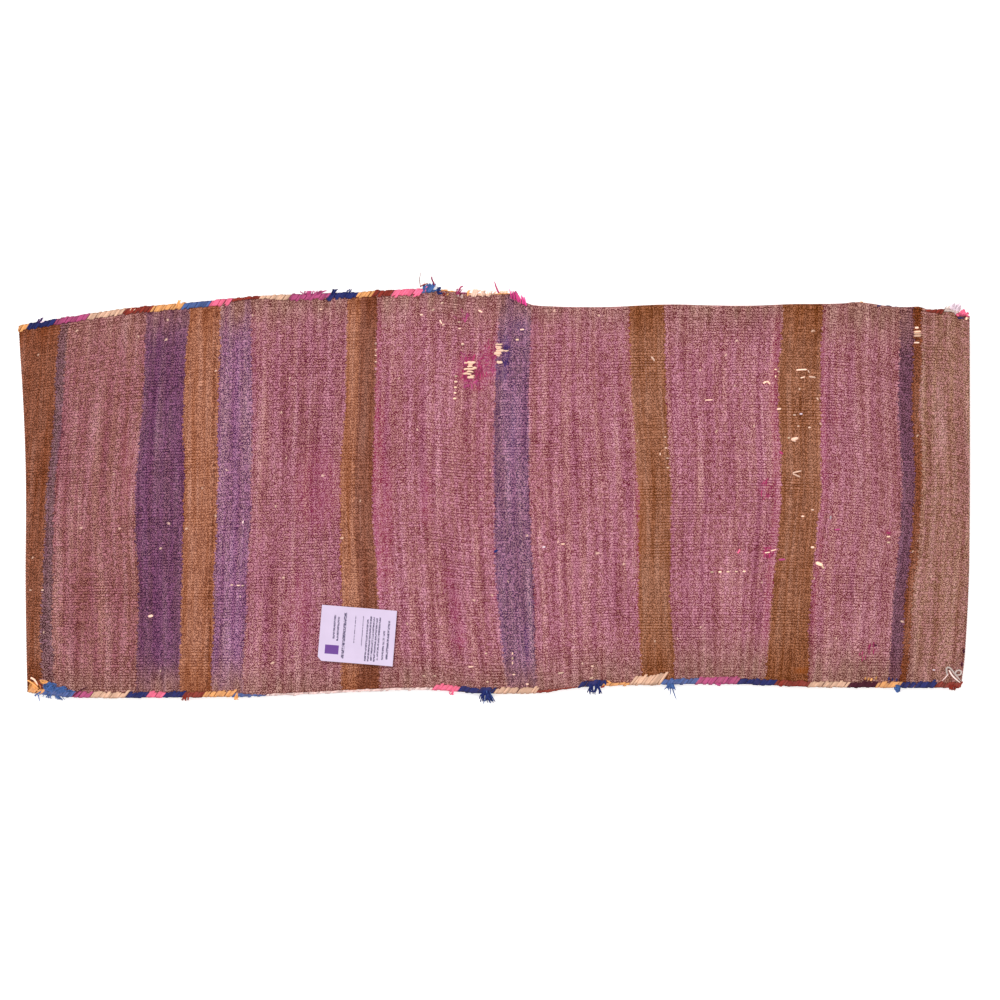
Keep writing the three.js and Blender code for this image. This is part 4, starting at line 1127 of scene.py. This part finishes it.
class SADDLEBAG_OT_loose_yarn(bpy.types.Operator):
    """Add the tufts, loose ends, knots, frays and bare warps"""

    bl_idname = "saddlebag.loose_yarn"
    bl_label = "Loose Yarn"

    def execute(self, context):
        materials = yarn_materials(context)
        rng = np.random.default_rng(23)
        for name, colour, side, start, end, reach, count, thickness in TUFTS:
            strands = tuft_strands(side, start, end, reach, count, thickness, rng)
            yarn_piece(name, strands, materials[colour])
        for name, colour, *shape in WOUND_KNOTS:
            yarn_piece(name, wound_strands(*shape, rng), materials[colour])
        self.add_corner_comb(materials, rng)
        self.add_loose_ends(materials)
        self.add_knots(materials, rng)
        self.add_frays(materials, rng)
        self.add_bare_warps(context, rng)
        return {"FINISHED"}

    def add_corner_comb(self, materials, rng):
        """The bright stitches left standing side by side where the seam turns under."""
        strands = []
        for share in np.linspace(0, 1, CORNER_COMB["stitches"]):
            x = between(*CORNER_COMB["x"], share) + rng.normal(0, 0.25)
            y = between(*CORNER_COMB["base"], share) + rng.normal(0, 0.3)
            reach = between(*CORNER_COMB["reach"], share) * rng.uniform(0.85, 1.1)
            z = float(layer_heights(x, y - 3)[1]) + HALF_CLOTH + ARM
            points = [
                (x + 1, y - 2, z - 2), (x + 0.6, y, z), (x - 0.2, y + reach * 0.4, z + 0.6),
                (x - 0.9, y + reach * 0.75, z + 0.4), (x - 1.4, y + reach, z - 0.8),
            ]
            strands.append((rng.uniform(1.3, 1.6), points))
        yarn_piece("corner_stitches", strands, materials["hot_pink"])

    def add_loose_ends(self, materials):
        """Single loose ends at the edges, by colour."""
        ends = by_colour([(colour, (thickness, points)) for colour, thickness, points in LOOSE_ENDS])
        for colour, strands in ends.items():
            yarn_piece(f"loose_ends_{colour}", strands, materials[colour])

    def add_knots(self, materials, rng):
        """Knots, darns and rows of dots on the cloth, by colour."""
        knots = [(colour, knot_strand(*shape)) for colour, shapes in KNOTS.items() for shape in shapes]
        for x, y, step_x, step_y, dots in DOT_ROWS:
            for dot in range(dots):
                place = (x + dot * step_x, y + dot * step_y)
                knots.append(("straw", knot_strand(*place, DOT_LENGTH, 0, rng.uniform(1.7, 2.1))))
        for colour, strands in by_colour(knots).items():
            yarn_piece(f"knots_{colour}", strands, materials[colour])

    def add_frays(self, materials, rng):
        """Curls of weft worn loose round the holes, which mostly run as the wefts do."""
        frays = []
        for colour, middle_x, middle_y, half_x, half_y, count, thickness in FRAYS:
            for _ in range(count):
                angle, out = rng.uniform(0, TAU), rng.uniform(0.62, 1)
                x = middle_x + half_x * out * math.cos(angle)
                y = middle_y + half_y * out * math.sin(angle)
                length = rng.uniform(3.5, 0.8 * min(half_x, half_y) + 4)
                width = thickness * rng.uniform(0.8, 1.2)
                heading, bow = rng.normal(80, 28), rng.uniform(-1.6, 1.6)
                frays.append((colour, knot_strand(x, y, length, heading, width, bow)))
        for colour, strands in by_colour(frays).items():
            yarn_piece(f"frayed_weft_{colour}", strands, materials[colour])

    def add_bare_warps(self, context, rng):
        """Undyed warps left bare where the weft has worn away."""
        strands = []
        for start, end, y, thickness in BARE_WARPS:
            points = []
            for share in (0, 0.15, 0.35, 0.65, 0.85, 1):
                x = between(start, end, share)
                rise = 0.7 if 0.1 < share < 0.9 else -0.6
                points.append((x, y + rng.normal(0, 0.35), float(surface_height(x, y)) + rise))
            strands.append((thickness, points))
        wool = yarn_wool("undyed_warp_wool", tuple(context.scene.saddlebag_cloth.warp_colour))
        warps = yarn_piece("bare_warps", strands, wool)
        bright = by_strand(len(warps.data.vertices), [tuple(p.vertices) for p in warps.data.polygons])
        warps.data.attributes["stitch"].data.foreach_set("value", (0.4 + 0.5 * bright).astype(np.float32))


# ---- The label card -------------------------------------------------------------------


def card_curl(x, y):
    """How far the card curls up at a place on it, as a share of the clipped corner's lift."""
    half_width, half_height = CARD["width"] / 2, CARD["height"] / 2
    clipped = (half_width - x) / CARD["width"] + (half_height - y) / CARD["height"]
    curl = 0
    for towards, (start, strength) in (
        (clipped / 2, CLIPPED_CURL),
        ((half_width + x) / CARD["width"], RIGHT_CURL),
        ((half_height - y) / CARD["height"], LOWER_CURL),
    ):
        curl += max(towards - start, 0) ** 2 * strength
    return curl


class SADDLEBAG_OT_label_card(bpy.types.Operator):
    """Lay the blank card, with its clipped corner, on the back"""

    bl_idname = "saddlebag.label_card"
    bl_label = "Label Card"

    def execute(self, context):
        settings = context.scene.saddlebag_card
        half_width, half_height = CARD["width"] / 2, CARD["height"] / 2
        deselect_all()
        bpy.ops.mesh.primitive_plane_add(size=1)
        draft = bpy.context.object
        bpy.ops.object.mode_set(mode="EDIT")
        bpy.ops.mesh.select_all(action="SELECT")
        bpy.ops.transform.resize(value=(CARD["width"], CARD["height"], 1))
        bpy.ops.mesh.subdivide(number_cuts=11)
        bpy.ops.mesh.select_all(action="SELECT")
        corner = (-half_width + CARD["clip"] / 2, -half_height, 0)
        outwards = (-CARD["clip"], -CARD["clip"] / 2, 0)
        bpy.ops.mesh.bisect(plane_co=corner, plane_no=outwards, clear_outer=True)
        bpy.ops.object.mode_set(mode="OBJECT")
        for vertex in draft.data.vertices:
            vertex.co.z = settings.lift / MM * card_curl(vertex.co.x, vertex.co.y)
        solid = draft.modifiers.new("card", "SOLIDIFY")
        solid.thickness = settings.thickness / MM
        solid.offset = 1
        bevel = draft.modifiers.new("edge", "BEVEL")
        bevel.width = 0.12
        bevel.segments = 2
        for name in ("card", "edge"):
            bpy.ops.object.modifier_apply(modifier=name)
        flat = np.array([tuple(v.co) for v in draft.data.vertices])
        faces = [tuple(p.vertices) for p in draft.data.polygons]
        bpy.data.objects.remove(draft)
        cos, sin = math.cos(CARD["turn"]), math.sin(CARD["turn"])
        points = np.stack(
            [
                CARD["x"] + flat[:, 0] * cos - flat[:, 1] * sin,
                CARD["y"] + flat[:, 0] * sin + flat[:, 1] * cos,
                CARD_Z + flat[:, 2],
            ],
            axis=-1,
        )
        card = piece_from("blank_card", points, faces, matt_card(context), ["label_card"])
        corners = np.concatenate([list(face) for face in faces])
        card_map = card.data.uv_layers.new(name="card_mm")
        card_map.data.foreach_set("uv", flat[corners, :2].astype(np.float32).ravel())
        card.data.polygons.foreach_set("use_smooth", np.zeros(len(faces), bool))
        return {"FINISHED"}


# ---- The woven strip ------------------------------------------------------------------

LINES_PER_RIB = 3  # the groove and the rib's two shoulders
LINES_PER_INNER = 9  # the inner face is coarser, with one line for this many outer ones
GRAIN_GAP = 600.6  # sets the pockets' beads apart from the back's, in whole pairs of ribs
FOLD_STEPS = 8


def stations(*stretches):
    """Positions from the first place on, as (reach, steps) stretches."""
    places = [stretches[0]]
    for reach, steps in stretches[1:]:
        places += np.linspace(places[-1], reach, steps + 1)[1:].tolist()
    return places


BACK_STATIONS = stations(-500, (-45, 52), (58, 20), (470, 47), (520, 10))
BACK_ENDS = 5  # rows between the last station and each end's fold
LEFT_FRONT_STATIONS = stations(-74, (-120, 3), (-500, 12))
RIGHT_FRONT_STATIONS = stations(37, (58, 4), (470, 12), (520, 6))


def line_shares(settings):
    """Where the lines along the strip lie, from 0 at the bottom edge to 1 at the top."""
    width = top_edge(0.0) - bottom_edge(0.0) - 2 * EDGE_INSET
    ribs = round(float(width) / (settings.rib_spacing / MM) / LINES_PER_INNER * LINES_PER_RIB)
    lines = ribs * LINES_PER_INNER
    return np.linspace(0, 1, lines + 1)


# Where the stitches are lost the cloth's own edge shows: how far out, and its start and end.
BARE_EDGE, BARE_START, BARE_END = 2.2, (434, 444), (496, 506)


def line_y(x, share):
    """Where a line along the strip lies across the bag."""
    bare = BARE_EDGE * ramp(x, *BARE_START) * (1 - ramp(x, *BARE_END))
    low, high = bottom_edge(x) + EDGE_INSET, top_edge(x) - EDGE_INSET + bare
    return between(low, high, share)


def weft_place(x, share):
    """Where a place lies along the strip by its wefts, which bend with the stripes."""
    shares = np.linspace(0, 1, 5)
    ends = np.array([ends for _, ends in STRIPES[:-1]])
    nominal = ends[:, 2]
    edges = np.array([curve_through(list(zip(shares, row)))(share) for row in ends])
    place = np.empty_like(x)
    for line in range(x.shape[1]):
        known = edges[:, line]
        inside = np.interp(x[:, line], known, nominal)
        before = np.minimum(x[:, line] - known[0], 0)
        after = np.maximum(x[:, line] - known[-1], 0)
        place[:, line] = inside + before + after
    return place


def rib_relief(lines, x, y, depth):
    """How far each line stands from the cloth's flat face: grooves lie between rounded ribs."""
    profile = np.where(np.arange(lines) % LINES_PER_RIB == 0, -0.8, 0.2) * depth
    return profile[None, :] + 0.06 * ripples(x * 1.3, y * 4, 11, seed=5)


def flat_rows(layer, places, share, depth):
    """Rows of the strip where it lies flat: their outer and inner points."""
    x = places
    y = line_y(x, share[None, :])
    y = y + 1.1 * ripples(x, y, 90, seed=6) * ramp(np.minimum(share, 1 - share), 0.02, 0.1)[None, :]
    front, back = layer_heights(x, y)
    relief = rib_relief(len(share), x, y, depth)
    if layer == "back":
        middle = back + unevenness(x, y) - spots(x, y, HOLES)
        return turn_under(x, y, middle + HALF_CLOTH + relief), turn_under(x, y, middle - HALF_CLOTH)
    lifted = 0.25 * np.maximum(1 + ripples(x, y, 120, seed=7), 0)
    middle = front + lifted * ramp(front, FRONT_FLAT + 0.5, FRONT_FLAT)
    sunk = np.minimum(relief - 0.2 * depth - 0.1, 0)
    return turn_under(x, y, middle - HALF_CLOTH - sunk), turn_under(x, y, middle + HALF_CLOTH)


def end_fold(share, side):
    """The middle of the cloth's end fold, its height and its radius, for each line."""
    width = top_edge(0.0) - bottom_edge(0.0)
    across = (EDGE_INSET + share * (width - 2 * EDGE_INSET)) / width
    end = right_end(across) if side > 0 else left_end(across)
    y = line_y(end, share)
    front, back = layer_heights(end, y)
    radius = (back - front) / 2
    return end - side * (radius + HALF_CLOTH), y, (back + front) / 2, radius


def fold_rows(side, angles, share, depth):
    """Rows round an end fold; angle 0 is the front and pi is the back."""
    x, y, z, radius = end_fold(share, side)
    angle = np.array(angles)[:, None]
    relief = rib_relief(len(share), x + 20 * angle, y + 0 * angle, depth)

    def around(reach):
        height = np.maximum(z - reach * np.cos(angle), FLOOR_GAP)
        return np.stack([x + side * reach * np.sin(angle), y + 0 * reach * angle, height], axis=-1)

    return around(radius + HALF_CLOTH + relief), around(radius[None, :] - HALF_CLOTH + 0 * angle)


def strip_rows(share, depth):
    """All the strip's rows from one pocket's mouth to the other's: outer points, inner points,
    places along the strip by its wefts, and whether each row lies underneath."""
    ones = np.ones_like(share)[None, :]
    fold_x = {side: end_fold(share, side)[0] for side in (-1, 1)}
    ends = np.linspace(0, 1, BACK_ENDS + 1)[1:-1, None]

    def stretched(places, from_x, nominal, actual):
        reach = np.clip((places - from_x) / (nominal - from_x), 0, None)
        return np.where(reach > 0, between(from_x, actual, reach), places)

    left = np.array(LEFT_FRONT_STATIONS)[:, None] * ones
    left = stretched(left, -120, -74, between(*LEFT_MOUTH, share)[None, :])
    right = np.array(RIGHT_FRONT_STATIONS)[:, None] * ones
    right = stretched(right, 58, 37, between(*RIGHT_MOUTH, share)[None, :])
    to_left = between(-500, fold_x[-1][None, :], ends)
    to_right = between(520, fold_x[1][None, :], ends)
    back = np.concatenate([to_left[::-1], np.array(BACK_STATIONS)[:, None] * ones, to_right])
    left = np.concatenate([left, to_left])
    right = np.concatenate([to_right[::-1], right[::-1]])
    angles = np.linspace(0, math.pi, FOLD_STEPS + 1)

    blocks = [
        (flat_rows("front", left, share, depth), weft_place(left, share), np.ones(len(left))),
        (fold_rows(-1, angles, share, depth), None, angles < math.pi / 2),
        (flat_rows("back", back, share, depth), weft_place(back, share), np.zeros(len(back))),
        (fold_rows(1, angles[::-1], share, depth), None, angles[::-1] < math.pi / 2),
        (flat_rows("front", right, share, depth), weft_place(right, share), np.ones(len(right))),
    ]
    outer, inner, wefts, under = [], [], [], []
    for (out, into), weft, below in blocks:
        if weft is None:
            side = 1 if len(outer) > 2 else -1
            turn = angles if side < 0 else angles[::-1]
            x, _, _, radius = end_fold(share, side)
            arc = np.minimum(turn, math.pi - turn)[:, None] * radius[None, :]
            weft = weft_place(x[None, :], share) + side * arc
        outer.append(out)
        inner.append(into)
        wefts.append(weft)
        under.append(below)
    return [np.concatenate(parts) for parts in (outer, inner, wefts, under)]


def woven_strip_mesh(context):
    """Points, faces, the cloth coordinates of each point, and the rows, the lines and which rows lie
    underneath.
    """
    settings = context.scene.saddlebag_cloth
    share = line_shares(settings)
    outer, inner, wefts, under = strip_rows(share, settings.rib_depth / MM)
    rows, lines = wefts.shape
    inner = inner[:, ::LINES_PER_INNER]
    inner_lines = inner.shape[1]
    points = np.concatenate([outer.reshape(-1, 3), inner.reshape(-1, 3)])

    outer_at = np.arange(rows * lines).reshape(rows, lines)
    inner_at = rows * lines + np.arange(rows * inner_lines).reshape(rows, inner_lines)

    def quads(a, b, c, d):
        return np.stack([a, b, c, d], axis=-1).reshape(-1, 4)

    faces = [
        quads(outer_at[:-1, :-1], outer_at[1:, :-1], outer_at[1:, 1:], outer_at[:-1, 1:]),
        quads(inner_at[:-1, :-1], inner_at[:-1, 1:], inner_at[1:, 1:], inner_at[1:, :-1]),
        quads(inner_at[:-1, 0], inner_at[1:, 0], outer_at[1:, 0], outer_at[:-1, 0]),
        quads(outer_at[:-1, -1], outer_at[1:, -1], inner_at[1:, -1], inner_at[:-1, -1]),
    ]
    faces = np.concatenate(faces).tolist()
    half = LINES_PER_INNER // 2
    for row, flip in ((0, False), (rows - 1, True)):
        for step in range(inner_lines - 1):
            near, far = inner_at[row, step], inner_at[row, step + 1]
            along = outer_at[row, step * LINES_PER_INNER : (step + 1) * LINES_PER_INNER + 1]
            ends = [(near, along[k], along[k + 1]) for k in range(half)]
            ends += [(near, along[half], far)]
            ends += [(far, along[k], along[k + 1]) for k in range(half, LINES_PER_INNER)]
            faces += [[int(i) for i in (end[::-1] if flip else end)] for end in ends]

    rib_mm = settings.rib_spacing / MM
    across = np.arange(lines) / LINES_PER_RIB * rib_mm + 0 * wefts
    place = np.concatenate(
        [
            np.stack([wefts, across], axis=-1).reshape(-1, 2),
            np.stack([wefts, across + 2 * GRAIN_GAP], axis=-1)[:, ::LINES_PER_INNER].reshape(-1, 2),
        ]
    )
    return points, faces, place, (rows, lines, under)


def tanned_share(x, y):
    """How far the dyes have gone tan. They have along both long edges, further in towards the
    right, less at the top left corner and hardly in the last stripe, which is tan all over."""
    edge_gap = np.minimum(top_edge(x) - y, y - bottom_edge(x))
    reach = between(58, 84, ramp(x, 60, 260))
    tanned = 1 - ramp(edge_gap + 8 * ripples(x, y, 60, seed=8), 4, reach)
    tanned = tanned * between(0.6, 1, np.maximum(ramp(x, -360, -300), ramp(-y, 0, 100)))
    tanned = np.maximum(tanned * between(1, 1.3, ramp(x, 150, 450)), 0.3 * ramp(x, 370, 450))
    return tanned * (1 - 0.8 * ramp(x, 486, 506))


class SADDLEBAG_OT_weave_strip(bpy.types.Operator):
    """Weave the striped strip, fold it into the two pockets and wear it"""

    bl_idname = "saddlebag.weave_strip"
    bl_label = "Weave Strip"

    def execute(self, context):
        points, faces, place, (rows, lines, under) = woven_strip_mesh(context)
        wool = kilim_wool(context)
        strip = piece_from("striped_strip", points, faces, wool, ["woven_strip"])
        mesh = strip.data
        corners = np.empty(len(mesh.loops), np.int64)
        mesh.loops.foreach_get("vertex_index", corners)
        corner_place = place[corners]
        # The faces of the pockets' fronts take their grain from another stretch of wool.
        sizes = np.empty(len(mesh.polygons), np.int64)
        mesh.polygons.foreach_get("loop_total", sizes)
        outer_faces = (rows - 1) * (lines - 1)
        face_row = np.arange(outer_faces) // (lines - 1)
        beneath = np.zeros(len(mesh.polygons))
        beneath[:outer_faces] = np.maximum(under[:-1], under[1:])[face_row]
        corner_place[:, 1] += GRAIN_GAP * np.repeat(beneath, sizes)
        mesh.uv_layers.new(name="cloth_mm").data.foreach_set("uv", corner_place.astype(np.float32).ravel())
        x, y, z = points.T
        on_back = (z > SEAM_MIDDLE).astype(float)
        point_values(mesh, "fresh", spots(x, y, FRESH_PATCHES) * on_back)
        # Where the holes are, for the painted shade in them.
        point_values(mesh, "hollow", spots(x, y, [(a, b, c, d, 1) for a, b, c, d, _ in HOLES]) * on_back)
        point_values(mesh, "tanned", tanned_share(x, y))
        point_values(mesh, "pale", spots(x, y, PALE_PATCHES) * on_back)
        return {"FINISHED"}


# ---- The stage ------------------------------------------------------------------------


VIEW_X, VIEW_Y = 7.0, -8.8  # the place on the bag that the camera looks at, in millimetres
KEY_PLACE = (-2.0, 2.6, 4.9)  # in metres
FLOOR_SIZE = 14
SENSOR_WIDTH = 36


class SADDLEBAG_OT_stage(bpy.types.Operator):
    """Lay the pale floor, and set the soft lights and the camera straight above the bag"""

    bl_idname = "saddlebag.stage"
    bl_label = "Stage"

    def execute(self, context):
        settings = context.scene.saddlebag_stage
        deselect_all()
        bpy.ops.mesh.primitive_plane_add(size=FLOOR_SIZE, location=(0, 0, 0))
        floor = context.object
        floor.name = "floor"
        floor.data.materials.append(glowing_floor_paint(tuple(settings.floor_colour)))

        world = bpy.data.worlds.new("studio")
        world.use_nodes = True
        background = world.node_tree.nodes["Background"]
        background.inputs["Color"].default_value = (1, 0.995, 0.99, 1)
        background.inputs["Strength"].default_value = settings.fill
        context.scene.world = world

        light = bpy.data.lights.new("key_light", "AREA")
        light.shape = "DISK"
        light.size = 1.0
        light.energy = settings.key_power
        light.color = (1, 0.985, 0.97)
        key = bpy.data.objects.new("key_light", light)
        key.location = KEY_PLACE
        key.rotation_euler = (-key.location).to_track_quat("-Z", "Y").to_euler()
        context.collection.objects.link(key)

        lens = bpy.data.cameras.new("camera")
        lens.lens = settings.lens
        lens.sensor_width = SENSOR_WIDTH
        lens.clip_end = 50
        camera = bpy.data.objects.new("camera", lens)
        distance = settings.view_width * settings.lens / lens.sensor_width
        camera.location = (VIEW_X * MM, VIEW_Y * MM, BACK_FLAT * MM + distance)
        context.collection.objects.link(camera)
        context.scene.camera = camera
        context.scene.view_settings.view_transform = "Standard"
        return {"FINISHED"}


OPERATORS = [
    SADDLEBAG_OT_overcast_edges,
    SADDLEBAG_OT_loose_yarn,
    SADDLEBAG_OT_label_card,
    SADDLEBAG_OT_weave_strip,
    SADDLEBAG_OT_stage,
]


class SADDLEBAG_PT_panel(bpy.types.Panel):
    """The saddle bag's settings and the steps that make it"""

    bl_idname = "SADDLEBAG_PT_panel"
    bl_label = "Kilim Saddle Bag"
    bl_space_type = "VIEW_3D"
    bl_region_type = "UI"
    bl_category = "Saddle Bag"

    def draw(self, context):
        for operator in OPERATORS:
            self.layout.operator(operator.bl_idname)
        for name, group in GROUPS.items():
            box = self.layout.box()
            box.label(text=group.__doc__)
            for setting in group.__annotations__:
                box.prop(getattr(context.scene, name), setting)


CLASSES = [*GROUPS.values(), *OPERATORS, SADDLEBAG_PT_panel]


def register():
    for item in CLASSES:
        bpy.utils.register_class(item)
    for name, group in GROUPS.items():
        setattr(bpy.types.Scene, name, PointerProperty(type=group))


def unregister():
    for name in GROUPS:
        delattr(bpy.types.Scene, name)
    for item in reversed(CLASSES):
        bpy.utils.unregister_class(item)


def main():
    register()
    for operator in OPERATORS:
        group, name = operator.bl_idname.split(".")
        getattr(getattr(bpy.ops, group), name)()


if __name__ == "__main__":
    main()
